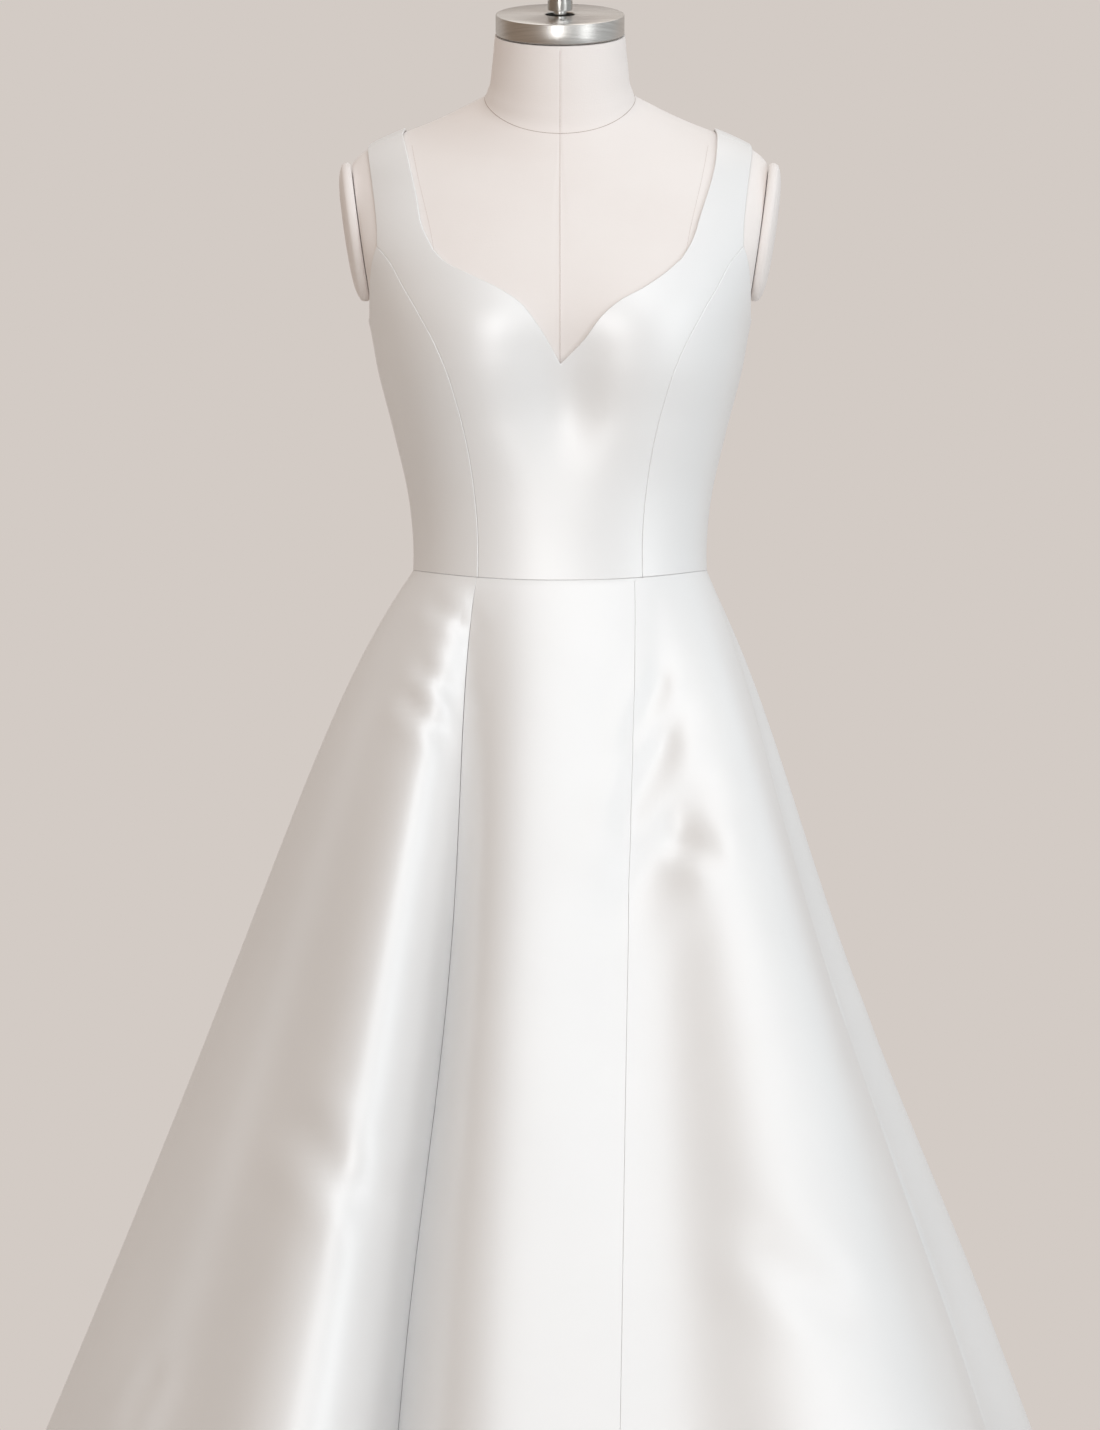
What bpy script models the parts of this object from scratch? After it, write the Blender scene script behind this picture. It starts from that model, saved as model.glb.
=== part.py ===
"""A sleeveless wedding dress of heavy satin, standing on a limbless dress form with a pole and a round base.

Metres, +Z up, the front faces -Y, left and right are the viewer's. The origin is the centre of the base's
underside. The cloth is built as the real dress is cut: a front with its straps, side fronts, side backs and
backs above the waist seam, and seven gores below it, each a thin wall of its own.
"""

import math

import bpy
import numpy as np
from mathutils import Matrix, Vector, geometry
from mathutils.bvhtree import BVHTree

# Dress sizes
WAIST_HEIGHT = 1.094
WAIST_DIP = 0.010
HEM_HEIGHT = 0.005
CLOTH = 0.0020
CARRY_GAP = 0.0012
SEAM_GAP = 0.0003
FRONT_SEAM_TURN = 31.5
SIDE_SEAM_TURN = 90.0
BACK_SEAM_TURN = 149.0
ARMHOLE_BOTTOM = 1.300
ARMHOLE_MIDDLE = 0.1560
ARMHOLE_RISE = 0.012
SHOULDER_RIDGE_Y = 0.011
SHOULDER_BACK_YS = (0.072, 0.052, 0.032)
BACK_NECK_HEIGHT = 1.262

# Form and stand sizes
HOLLOW_DEPTH = 0.012
HOLLOW_HALF_WIDTH = 0.050
HOLLOW_HEIGHT = 1.262
HOLLOW_REACH = 0.068
ARMHOLE_X = 0.1709
ARMHOLE_Z = 1.405
ARMHOLE_LEAN = math.radians(8.2)
ARMHOLE_START = 1.306
ARMHOLE_RELEASE = 4.0
ARMHOLE_SOFT = 0.0012
PLATE_HALF_DEPTH = 0.046
PLATE_HALF_HEIGHT = 0.059
PLATE_CENTRE = (0.1675, 0.004, 1.3795)
FOOT_SHARE = 0.95
NECK_LEAN = math.radians(17.0)
CAP_RADIUS = 0.054
CAP_THICKNESS = 0.017
CAP_EDGE = 0.0012
CAP_FLOOR = 0.004
CAP_HOLE_RADIUS = 0.0125
ROD_RADIUS = 0.0105
ROD_EDGE = 0.001
STEM_RADIUS = 0.0055
STEM_SHOWN = 0.0035
ROD_REACH = 0.055
POLE_RADIUS = 0.017
BASE_RADIUS = 0.190
BASE_THICKNESS = 0.014
COLLAR_RADIUS = 0.034
COLLAR_STEP = 0.008
COLLAR_FLANGE = 0.010
COLLAR_HEIGHT = 0.045
STAND_EDGE = 0.002
FIT_GAP = 0.0003

# Zip sizes
SLIDER_WIDTH = 0.0060
SLIDER_LENGTH = 0.0110
SLIDER_DEPTH = 0.0056
BRIDGE_HOLE = 0.0030
BRIDGE_BAR = 0.0012
BRIDGE_END = 0.0022
TAB_WIDTH = 0.0094
TAB_LENGTH = 0.0240
TAB_THICKNESS = 0.0014
TAB_WINDOW_PLAY = 0.0008
TAB_WINDOW_REACH = 0.0012
SLIDER_BELOW_NECK = 0.014

# Mesh fineness
TORSO_COLUMNS = 52
SNAP_COLUMNS = 144
SNAP_STEP = 0.004
SEAM_ROWS = 14
NECK_CORNER_ROW = 14
POINT_ROW = 8
STRAP_ROWS = {-1: 6, 1: 13}
FRONT_COLUMNS = 9
SIDE_COLUMNS = 5
BACK_COLUMNS = 6
SKIRT_STEPS = 3
ROUND_STEPS = 40

# The form: height of each section's centre, half width, depth in front, depth behind, centre's y,
# squareness of the outline, and forward lean of the section in degrees
TORSO = (
    (0.800, 0.150, 0.100, 0.110, 0.010, 2.20, 0.0),
    (0.880, 0.166, 0.110, 0.124, 0.014, 2.20, 0.0),
    (0.960, 0.154, 0.104, 0.116, 0.011, 2.20, 0.0),
    (1.030, 0.133, 0.092, 0.096, 0.004, 2.20, 0.0),
    (1.090, 0.1205, 0.084, 0.085, 0.000, 2.20, 0.0),
    (1.150, 0.1230, 0.089, 0.091, 0.000, 2.25, 0.0),
    (1.210, 0.1360, 0.103, 0.102, -0.001, 2.35, 0.0),
    (1.265, 0.1500, 0.119, 0.111, -0.001, 2.45, 0.0),
    (1.300, 0.1565, 0.123, 0.115, 0.000, 2.45, 2.0),
    (1.340, 0.1680, 0.117, 0.118, 0.003, 2.40, 5.0),
    (1.380, 0.1830, 0.107, 0.113, 0.007, 2.30, 9.0),
    (1.410, 0.1860, 0.099, 0.105, 0.010, 2.20, 13.0),
    (1.430, 0.1790, 0.095, 0.097, 0.011, 2.10, 17.0),
    (1.4445, 0.1660, 0.092, 0.090, 0.011, 2.00, 20.0),
    (1.4535, 0.1480, 0.089, 0.085, 0.011, 1.95, 21.0),
    (1.4635, 0.1200, 0.084, 0.080, 0.010, 1.90, 22.5),
    (1.478, 0.0850, 0.074, 0.072, 0.007, 1.95, 24.0),
    (1.4865, 0.0675, 0.065, 0.066, 0.004, 2.00, 24.5),
    (1.498, 0.0605, 0.060, 0.061, 0.000, 2.00, 22.5),
    (1.518, 0.0570, 0.057, 0.057, -0.005, 2.00, 19.5),
    (1.543, 0.0545, 0.0545, 0.0545, -0.012, 2.00, 17.0),
)

# Seams and edges of the bodice as (distance from the centre line, height), read square on
FRONT_PRINCESS = ((0.0670, 1.125), (0.0700, 1.160), (0.0755, 1.195), (0.0835, 1.228), (0.0930, 1.258),
                  (0.1040, 1.283), (0.1160, 1.305), (0.1290, 1.328), (0.1390, 1.347), (0.1500, 1.361))
ARM_EDGE_FRONT = ((0.1505, 1.374), (0.1530, 1.397), (0.1570, 1.424))
NECKLINE_LEFT = ((0.017, 1.290), (0.034, 1.311), (0.049, 1.321), (0.0745, 1.334), (0.095, 1.3455))
NECKLINE_RIGHT = ((0.0205, 1.282), (0.0335, 1.299), (0.0475, 1.311), (0.067, 1.322), (0.084, 1.334))
NECK_CORNER_LEFT = (0.1035, 1.355)
NECK_CORNER_RIGHT = (0.0985, 1.347)
STRAP_EDGE_LEFT = ((0.1130, 1.375), (0.1180, 1.401), (0.1250, 1.432))
STRAP_EDGE_RIGHT = ((0.1075, 1.362), (0.1150, 1.385), (0.1240, 1.413))
NECK_POINT_HEIGHT = 1.2615
SHOULDER_INNER = 0.1315
SHOULDER_OUTER = 0.1605
BACK_PRINCESS = ((0.0690, 1.135), (0.0760, 1.180), (0.0880, 1.230), (0.1060, 1.280), (0.1270, 1.322),
                 (0.1440, 1.350))
ARM_EDGE_BACK = ((0.1465, 1.368), (0.1505, 1.390), (0.1540, 1.408))
BACK_NECKLINE = ((0.030, 1.268), (0.058, 1.288), (0.082, 1.320))
BACK_NECK_CORNER = (0.1000, 1.352)
BACK_STRAP_EDGE = ((0.1110, 1.382), (0.1200, 1.410), (0.1270, 1.437))

# Neckline, its corner and the strap's inner edge, for each hand (-1 left) and side (-1 front)
INNER_EDGES = {
    (-1, -1): (NECKLINE_LEFT, NECK_CORNER_LEFT, STRAP_EDGE_LEFT),
    (1, -1): (NECKLINE_RIGHT, NECK_CORNER_RIGHT, STRAP_EDGE_RIGHT),
    (-1, 1): (BACK_NECKLINE, BACK_NECK_CORNER, BACK_STRAP_EDGE),
    (1, 1): (BACK_NECKLINE, BACK_NECK_CORNER, BACK_STRAP_EDGE),
}

# Lines that run down the skirt: turn from the centre front at the waist in degrees, hem x, hem y,
# swell at the hip, swell at the knee, and whether the cloth folds sharply there
SKIRT = (
    ("centre_front", 0.0, -0.012, -0.506, 0.006, 0.000, False),
    ("right_front_seam", 31.5, 0.030, -0.510, 0.004, -0.003, False),
    ("right_dip", 36.0, 0.122, -0.505, 0.003, 0.000, False),
    ("right_roll", 43.0, 0.236, -0.550, 0.003, 0.003, False),
    ("right_crest", 56.0, 0.395, -0.510, 0.008, 0.005, False),
    ("right_flank", 70.0, 0.450, -0.350, 0.006, -0.006, False),
    ("right_fold", 81.0, 0.478, -0.158, 0.006, -0.013, False),
    ("right_side_seam", 90.0, 0.465, -0.015, 0.006, -0.013, False),
    ("right_back_fold", 101.0, 0.560, 0.172, 0.010, -0.010, False),
    ("right_back_valley", 118.0, 0.450, 0.277, 0.014, 0.000, False),
    ("right_back_crest", 134.0, 0.407, 0.480, 0.016, 0.000, False),
    ("right_back_seam", 149.0, 0.253, 0.482, 0.016, 0.000, False),
    ("right_train_crest", 164.0, 0.140, 0.606, 0.016, 0.000, False),
    ("centre_back", 180.0, 0.000, 0.567, 0.016, 0.000, True),
    ("left_train_crest", 196.0, -0.133, 0.606, 0.016, 0.000, False),
    ("left_back_seam", 211.0, -0.246, 0.482, 0.016, 0.000, False),
    ("left_back_crest", 223.0, -0.387, 0.493, 0.016, 0.000, False),
    ("left_back_valley", 235.0, -0.425, 0.310, 0.014, 0.000, False),
    ("left_back_fold", 248.0, -0.553, 0.206, 0.016, 0.000, False),
    ("left_side", 261.0, -0.592, 0.024, 0.016, 0.000, False),
    ("left_side_seam", 270.0, -0.568, -0.111, 0.016, 0.000, False),
    ("left_crest_outer", 284.0, -0.485, -0.296, 0.014, 0.000, False),
    ("left_valley", 298.0, -0.420, -0.335, 0.010, 0.000, False),
    ("left_crest_inner", 312.0, -0.336, -0.460, 0.008, 0.000, False),
    ("left_roll", 321.0, -0.262, -0.474, 0.007, 0.004, False),
    ("left_front_seam", 328.5, -0.164, -0.322, 0.005, -0.016, True),
    ("centre_left", 344.0, -0.104, -0.504, 0.006, 0.000, False),
)
SKIRT_LEVELS = (0.0, 0.025, 0.055, 0.09, 0.13, 0.18, 0.25, 0.34, 0.46, 0.62, 0.80, 1.0)
HIP_LEVEL = 0.13
KNEE_LEVEL = 0.60
GORES = (
    ("skirt_front", "left_front_seam", "right_front_seam"),
    ("skirt_side_front_right", "right_front_seam", "right_side_seam"),
    ("skirt_side_back_right", "right_side_seam", "right_back_seam"),
    ("skirt_back_right", "right_back_seam", "centre_back"),
    ("skirt_back_left", "centre_back", "left_back_seam"),
    ("skirt_side_back_left", "left_back_seam", "left_side_seam"),
    ("skirt_side_front_left", "left_side_seam", "left_front_seam"),
)

# Heights at which the torso's sections are built
TORSO_LEVELS = (
    0.806, 0.83, 0.87, 0.91, 0.95, 0.985, 1.015, 1.04, 1.06, 1.078, 1.092, 1.107, 1.125, 1.145, 1.167, 1.19,
    1.215, 1.24, 1.265, 1.29, 1.315, 1.34, 1.365, 1.39, 1.412, 1.43, 1.4445, 1.4535, 1.4635, 1.472, 1.480,
    1.4865, 1.494, 1.505, 1.522, 1.543,
)

# The arm plate's dome from its back to its crown: share of the outline, and height
PLATE_PROFILE = (
    (0.955, FIT_GAP), (0.985, 0.0016), (1.0, 0.0034), (0.985, 0.0062), (0.93, 0.0088), (0.82, 0.0110),
    (0.62, 0.0127), (0.35, 0.0135), (0.12, 0.0138),
)

SATIN = ("satin", (0.86, 0.85, 0.83, 1.0), 0.38, 0.0)
FORM_CLOTH = ("form_cloth", (0.80, 0.74, 0.70, 1.0), 0.85, 0.0)
STEEL = ("brushed_steel", (0.62, 0.60, 0.57, 1.0), 0.30, 1.0)
ZIP_METAL = ("zip_metal", (0.75, 0.74, 0.72, 1.0), 0.35, 1.0)


def clear_scene():
    for item in list(bpy.data.objects):
        bpy.data.objects.remove(item, do_unlink=True)


def material(kind):
    """Make or reuse one material from its name, colour, roughness and metallic value."""
    name, colour, roughness, metallic = kind
    found = bpy.data.materials.get(name)
    if found:
        return found
    made = bpy.data.materials.new(name)
    made.use_nodes = True
    shader = made.node_tree.nodes["Principled BSDF"]
    shader.inputs["Base Color"].default_value = colour
    shader.inputs["Roughness"].default_value = roughness
    shader.inputs["Metallic"].default_value = metallic
    return made


def add_object(name, vertices, faces, kind, sharp=40.0):
    """Add one object from points and faces, shaded smooth apart from its sharp edges."""
    mesh = bpy.data.meshes.new(name)
    mesh.from_pydata([tuple(float(c) for c in v) for v in vertices], [], faces)
    mesh.validate()
    mesh.shade_smooth()
    mesh.set_sharp_from_angle(angle=math.radians(sharp))
    mesh.materials.append(material(kind))
    made = bpy.data.objects.new(name, mesh)
    bpy.context.scene.collection.objects.link(made)
    return made


def unit(vectors):
    """Scale each vector to a length of one."""
    return vectors / np.linalg.norm(vectors, axis=-1, keepdims=True)


def smooth_columns(rows, at):
    """Read every column of a table at new values of its first column, along smooth curves."""
    table = np.array(rows, dtype=float)
    knots = table[:, 0]
    values = table[:, 1:]
    slopes = np.gradient(values, knots, axis=0)
    at = np.clip(np.asarray(at, dtype=float), knots[0], knots[-1])
    k = np.clip(np.searchsorted(knots, at, side="right") - 1, 0, len(knots) - 2)
    step = (knots[k + 1] - knots[k])[:, None]
    t = ((at - knots[k]) / step[:, 0])[:, None]
    start = (2 * t**3 - 3 * t**2 + 1) * values[k] + (t**3 - 2 * t**2 + t) * step * slopes[k]
    end = (3 * t**2 - 2 * t**3) * values[k + 1] + (t**3 - t**2) * step * slopes[k + 1]
    return start + end


def signed_power(base, power):
    return np.sign(base) * np.abs(base) ** power


def soft_limit(x, limit):
    """Hold x within a limit on both sides, with a soft corner where it meets the limit."""
    size = np.abs(x)
    over = ARMHOLE_SOFT * np.log1p(np.exp(-np.abs(size - limit) / ARMHOLE_SOFT))
    return np.sign(x) * (np.minimum(size, limit) - over)


def torso_grid(levels, turns):
    """Points of the form's surface, one row for each section height, one column for each turn in degrees."""
    levels = np.asarray(levels, dtype=float)
    columns = smooth_columns(TORSO, levels)
    half, front, back, centre, square, lean = (columns[:, i][:, None] for i in range(6))
    turns = np.radians(np.asarray(turns, dtype=float))[None, :]
    lean = np.radians(lean)
    x = half * signed_power(np.sin(turns), 2 / square)
    depth = np.where(np.cos(turns) > 0, front, back)
    along = -depth * signed_power(np.cos(turns), 2 / square)
    y = centre + along * np.cos(lean)
    z = levels[:, None] + along * np.sin(lean)
    hollow = np.exp(-((x / HOLLOW_HALF_WIDTH) ** 2) - ((z - HOLLOW_HEIGHT) / HOLLOW_REACH) ** 2)
    y = y + HOLLOW_DEPTH * hollow * np.clip(-y / front, 0, 1)
    limit = ARMHOLE_X + (z - ARMHOLE_Z) * math.tan(ARMHOLE_LEAN)
    limit = limit + np.maximum(0.0, ARMHOLE_START - z) * ARMHOLE_RELEASE
    return np.stack([soft_limit(x, limit), y, z], axis=-1)


def grid_normals(grid):
    """Outward normals of a closed grid whose columns run anticlockwise seen from above, rows upward."""
    across = np.roll(grid, -1, axis=1) - np.roll(grid, 1, axis=1)
    upward = np.gradient(grid, axis=0)
    return unit(np.cross(across, upward))


class Surface:
    """The form's skin as a fine mesh that points are cast or moved onto."""

    def __init__(self):
        levels = np.arange(TORSO[0][0], TORSO[-1][0], SNAP_STEP)
        turns = np.arange(SNAP_COLUMNS) * 360.0 / SNAP_COLUMNS
        grid = torso_grid(levels, turns)
        normals = grid_normals(grid)
        count = SNAP_COLUMNS
        self.points = [Vector(p) for p in grid.reshape(-1, 3)]
        self.normals = [Vector(n) for n in normals.reshape(-1, 3)]
        self.triangles = []
        for row in range(len(levels) - 1):
            for column in range(count):
                a = row * count + column
                b = row * count + (column + 1) % count
                self.triangles.append((a, b, b + count))
                self.triangles.append((a, b + count, a + count))
        self.tree = BVHTree.FromPolygons(self.points, self.triangles)

    def onto(self, point):
        """The nearest point of the skin and the skin's smooth normal there."""
        place, _, index, _ = self.tree.find_nearest(Vector(point))
        corners = self.triangles[index]
        a, b, c = (self.points[i] for i in corners)
        na, nb, nc = (self.normals[i] for i in corners)
        normal = geometry.barycentric_transform(place, a, b, c, na, nb, nc).normalized()
        return place, normal

    def seen(self, x, z, side):
        """The point that shows at x and z from the front (side -1) or from behind (side 1)."""
        place = self.tree.ray_cast(Vector((x, side, z)), Vector((0, -side, 0)))[0]
        return np.array(place)

    def above(self, x, y):
        """The point that shows from above at x and y."""
        place = self.tree.ray_cast(Vector((x, y, 2.0)), Vector((0, 0, -1)))[0]
        return np.array(place)


def run(points, steps):
    """Spread steps + 1 points evenly along a smooth curve through the given points."""
    points = np.array(points, dtype=float)
    lengths = np.linalg.norm(np.diff(points, axis=0), axis=1)
    knots = np.concatenate([[0.0], np.cumsum(lengths)])
    rows = np.column_stack([knots, points])
    return smooth_columns(rows, np.linspace(0.0, knots[-1], steps + 1))


def waist_height(turns):
    """Height of the waist seam, which dips at the front."""
    turns = np.radians(np.asarray(turns, dtype=float))
    return WAIST_HEIGHT - WAIST_DIP * np.maximum(0.0, np.cos(turns)) ** 2


def waist_points(turns):
    """Points of the waist seam on the form's skin."""
    heights = waist_height(turns)
    return np.array([torso_grid([h], [t])[0, 0] for h, t in zip(heights, turns)])


def patch(left, right, bottom=None, top=None):
    """Fill a grid between two side edges, bent to meet the bottom and top edges where they are given."""
    left, right = np.array(left), np.array(right)
    rows = len(left)
    columns = len(bottom) if bottom is not None else len(top)
    across = np.linspace(0, 1, columns)[None, :, None]
    up = np.linspace(0, 1, rows)[:, None, None]
    grid = left[:, None] * (1 - across) + right[:, None] * across
    if bottom is not None:
        grid = grid + (np.array(bottom) - grid[0])[None] * (1 - up)
    if top is not None:
        grid = grid + (np.array(top) - grid[-1])[None] * up
    return grid


def settle(skin, grid, shrink):
    """Lay a grid on the form's skin, and draw its edges in by half a seam's gap where shrink names them."""
    flat = [skin.onto(p) for p in grid.reshape(-1, 3)]
    places = np.array([p for p, _ in flat]).reshape(grid.shape)
    normals = np.array([n for _, n in flat]).reshape(grid.shape)
    half = SEAM_GAP / 2
    if "left" in shrink:
        places[:, 0] += unit(places[:, 1] - places[:, 0]) * half
    if "right" in shrink:
        places[:, -1] += unit(places[:, -2] - places[:, -1]) * half
    if "bottom" in shrink:
        places[0, :, 2] = grid[0, :, 2] + half
        normals[0, :, 2] = 0.0
        normals[0] = unit(normals[0])
    if "top" in shrink:
        places[-1] += unit(places[-2] - places[-1]) * half
    return places, normals


def grid_faces(rows, columns, index):
    """Quads of a grid whose vertex numbers index(row, column) gives."""
    faces = []
    for row in range(rows - 1):
        for column in range(columns - 1):
            faces.append((index(row, column), index(row, column + 1),
                          index(row + 1, column + 1), index(row + 1, column)))
    return faces


def cloth(name, points, normals, faces, low, high, kind=SATIN):
    """A closed wall on a surface, from low to high along the surface's normals."""
    points = np.array(points)
    normals = np.array(normals)
    a, b, c = (Vector(points[i]) for i in faces[0][:3])
    if (b - a).cross(c - b).dot(Vector(normals[faces[0][0]])) < 0:
        faces = [tuple(reversed(face)) for face in faces]
    count = len(points)
    vertices = np.concatenate([points + normals * high, points + normals * low])
    sides = {}
    for face in faces:
        for start, end in zip(face, face[1:] + face[:1]):
            sides[(start, end)] = True
    rim = [pair for pair in sides if (pair[1], pair[0]) not in sides]
    walls = [(end, start, start + count, end + count) for start, end in rim]
    inside = [tuple(i + count for i in reversed(face)) for face in faces]
    return add_object(name, vertices, list(faces) + inside + walls, kind, 50.0)


def sheet_panel(skin, name, grid, shrink):
    """One bodice panel from a grid of points near the form."""
    places, normals = settle(skin, grid, shrink)
    rows, columns = grid.shape[:2]
    faces = grid_faces(rows, columns, lambda r, c: r * columns + c)
    return cloth(name, places.reshape(-1, 3), normals.reshape(-1, 3), faces,
                 CARRY_GAP, CARRY_GAP + CLOTH)


def square_on(skin, rows, hand, side):
    return [skin.seen(hand * x, z, side) for x, z in rows]


def princess_seam(skin, hand, side):
    """The seam from the waist to the armhole, on one hand (-1 left) and side (-1 front)."""
    turn = FRONT_SEAM_TURN if side < 0 else BACK_SEAM_TURN
    table = FRONT_PRINCESS if side < 0 else BACK_PRINCESS
    start = waist_points([hand * turn])
    return run(list(start) + square_on(skin, table, hand, side), SEAM_ROWS)


def over_shoulder(skin, hand, side, low, top):
    """Points up a strap's edge from its last point square on, at low, to the shoulder seam, at top."""
    if side < 0:
        return [skin.above(hand * top, SHOULDER_RIDGE_Y)]
    ys = SHOULDER_BACK_YS + (SHOULDER_RIDGE_Y,)
    xs = np.linspace(low, top, len(ys) + 1)[1:]
    return [skin.above(hand * x, y) for x, y in zip(xs, ys)]


def arm_edge(skin, hand, side):
    """The strap's outer edge, from the top of the princess seam to the shoulder."""
    table = ARM_EDGE_FRONT if side < 0 else ARM_EDGE_BACK
    seam = FRONT_PRINCESS if side < 0 else BACK_PRINCESS
    points = square_on(skin, seam[-1:] + table, hand, side)
    return run(points + over_shoulder(skin, hand, side, table[-1][0], SHOULDER_OUTER), STRAP_ROWS[side])


def inner_edge(skin, hand, side):
    """The centre line up to the neck point, then the neckline and the strap's inner edge."""
    line, corner, strap = INNER_EDGES[(hand, side)]
    turn = 0.0 if side < 0 else 180.0
    point = NECK_POINT_HEIGHT if side < 0 else BACK_NECK_HEIGHT
    start = waist_points([turn])[0]
    heights = np.linspace(start[2], point, POINT_ROW + 1)
    centre = [start] + [skin.seen(0.0, z, side) for z in heights[1:]]
    neck = run([centre[-1]] + square_on(skin, line + (corner,), hand, side), NECK_CORNER_ROW - POINT_ROW)
    over = over_shoulder(skin, hand, side, strap[-1][0], SHOULDER_INNER)
    top = run(square_on(skin, (corner,) + strap, hand, side) + over, STRAP_ROWS[side])
    return np.concatenate([np.array(centre), neck[1:], top[1:]])


def half_bodice(skin, hand, side, columns):
    """The grid between the centre edge and the princess seam on one hand, up to the shoulder."""
    turn = FRONT_SEAM_TURN if side < 0 else BACK_SEAM_TURN
    centre_turn = 0.0 if side < 0 else 180.0
    inner = inner_edge(skin, hand, side)
    outer = np.concatenate([princess_seam(skin, hand, side), arm_edge(skin, hand, side)[1:]])
    bottom = waist_points(np.linspace(hand * centre_turn, hand * turn, columns + 1))
    return patch(inner, outer, bottom=bottom)


def bodice_front(skin):
    """The centre front with both straps, whose halves share the centre line below the neck point."""
    vertices, normals, faces = [], [], []
    shared = {}
    for hand in (-1, 1):
        grid = half_bodice(skin, hand, -1, FRONT_COLUMNS)
        places, outward = settle(skin, grid, ("right", "bottom", "top"))
        rows, columns = grid.shape[:2]
        numbers = {}
        for row in range(rows):
            for column in range(columns):
                if hand > 0 and column == 0 and row <= POINT_ROW:
                    numbers[(row, column)] = shared[row]
                    continue
                numbers[(row, column)] = len(vertices)
                vertices.append(places[row, column])
                normals.append(outward[row, column])
        if hand < 0:
            shared = {row: numbers[(row, 0)] for row in range(rows)}
        quads = grid_faces(rows, columns, lambda r, c: numbers[(r, c)])
        faces += quads if hand > 0 else [tuple(reversed(quad)) for quad in quads]
    return cloth("bodice_front", vertices, normals, faces, CARRY_GAP, CARRY_GAP + CLOTH)


def bodice_backs(skin):
    for hand, name in ((-1, "left"), (1, "right")):
        grid = half_bodice(skin, hand, 1, BACK_COLUMNS)
        sheet_panel(skin, f"bodice_back_{name}", grid, ("left", "right", "bottom", "top"))


def bodice_sides(skin):
    """Side fronts and side backs, between a princess seam and the side seam, under the armhole."""
    for hand, name in ((-1, "left"), (1, "right")):
        heights = np.linspace(float(waist_height([SIDE_SEAM_TURN])[0]), ARMHOLE_BOTTOM, SEAM_ROWS + 1)
        side_seam = torso_grid(heights, [hand * SIDE_SEAM_TURN])[:, 0]
        for side, part, turn in ((-1, "side_front", FRONT_SEAM_TURN), (1, "side_back", BACK_SEAM_TURN)):
            seam = princess_seam(skin, hand, side)
            bottom = waist_points(np.linspace(hand * turn, hand * SIDE_SEAM_TURN, SIDE_COLUMNS + 1))
            middle = skin.seen(hand * ARMHOLE_MIDDLE, ARMHOLE_BOTTOM + ARMHOLE_RISE, side)
            armhole = run([seam[-1], middle, side_seam[-1]], SIDE_COLUMNS)
            grid = patch(seam, side_seam, bottom, armhole)
            sheet_panel(skin, f"bodice_{part}_{name}", grid, ("left", "right", "bottom"))


def skirt_line(row, level):
    """Where one line of the skirt lies at a level from 0 at the waist to 1 at the hem."""
    _, turn, hem_x, hem_y, hip, knee, _ = row
    waist = waist_points([turn])[0]
    outward = unit(np.array([waist[0], waist[1], 0.0]))
    start = waist + outward * (CARRY_GAP + CLOTH) - np.array([0, 0, SEAM_GAP / 2])
    hem = np.array([hem_x, hem_y, HEM_HEIGHT])
    place = start * (1 - level) + hem * level
    radial = unit(np.array([place[0], place[1], 0.0]))
    hip_share = level / HIP_LEVEL * math.exp(1 - level / HIP_LEVEL)
    knee_share = math.sin(math.pi * min(level, KNEE_LEVEL) / KNEE_LEVEL) ** 2
    return place + radial * (hip * hip_share + knee * knee_share)


def ring_slopes(ring, sharp):
    """Slopes of the closed curve through a ring of points, per unit of length, before and after each point."""
    forward = np.roll(ring, -1, axis=0) - ring
    lengths = np.linalg.norm(forward, axis=1)[:, None]
    chords = forward / lengths
    before, after = np.roll(chords, 1, axis=0), chords
    length_before = np.roll(lengths, 1, axis=0)
    slopes = (before * lengths + after * length_before) / (lengths + length_before)
    leaving, arriving = slopes.copy(), slopes.copy()
    for k in range(len(ring)):
        if sharp[k]:
            following = (k + 1) % len(ring)
            leaving[k] = 1.5 * chords[k] - 0.5 * slopes[following]
            arriving[k] = 1.5 * chords[k - 1] - 0.5 * slopes[k - 1]
    return lengths, leaving, arriving


def skirt_ring(level, steps):
    """One level of the skirt: for each stretch between two lines, its points and their slopes."""
    ring = np.array([skirt_line(row, level) for row in SKIRT])
    sharp = [row[-1] and level > 0 for row in SKIRT]
    lengths, leaving, arriving = ring_slopes(ring, sharp)
    t = np.linspace(0, 1, steps + 1)[:, None]
    stretches = []
    for k in range(len(SKIRT)):
        following = (k + 1) % len(SKIRT)
        m0, m1 = leaving[k] * lengths[k], arriving[following] * lengths[k]
        p0, p1 = ring[k], ring[following]
        points = ((2 * t**3 - 3 * t**2 + 1) * p0 + (t**3 - 2 * t**2 + t) * m0
                  + (3 * t**2 - 2 * t**3) * p1 + (t**3 - t**2) * m1)
        slopes = ((6 * t**2 - 6 * t) * p0 + (3 * t**2 - 4 * t + 1) * m0
                  + (6 * t - 6 * t**2) * p1 + (3 * t**2 - 2 * t) * m1)
        stretches.append((points, slopes))
    return stretches


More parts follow.
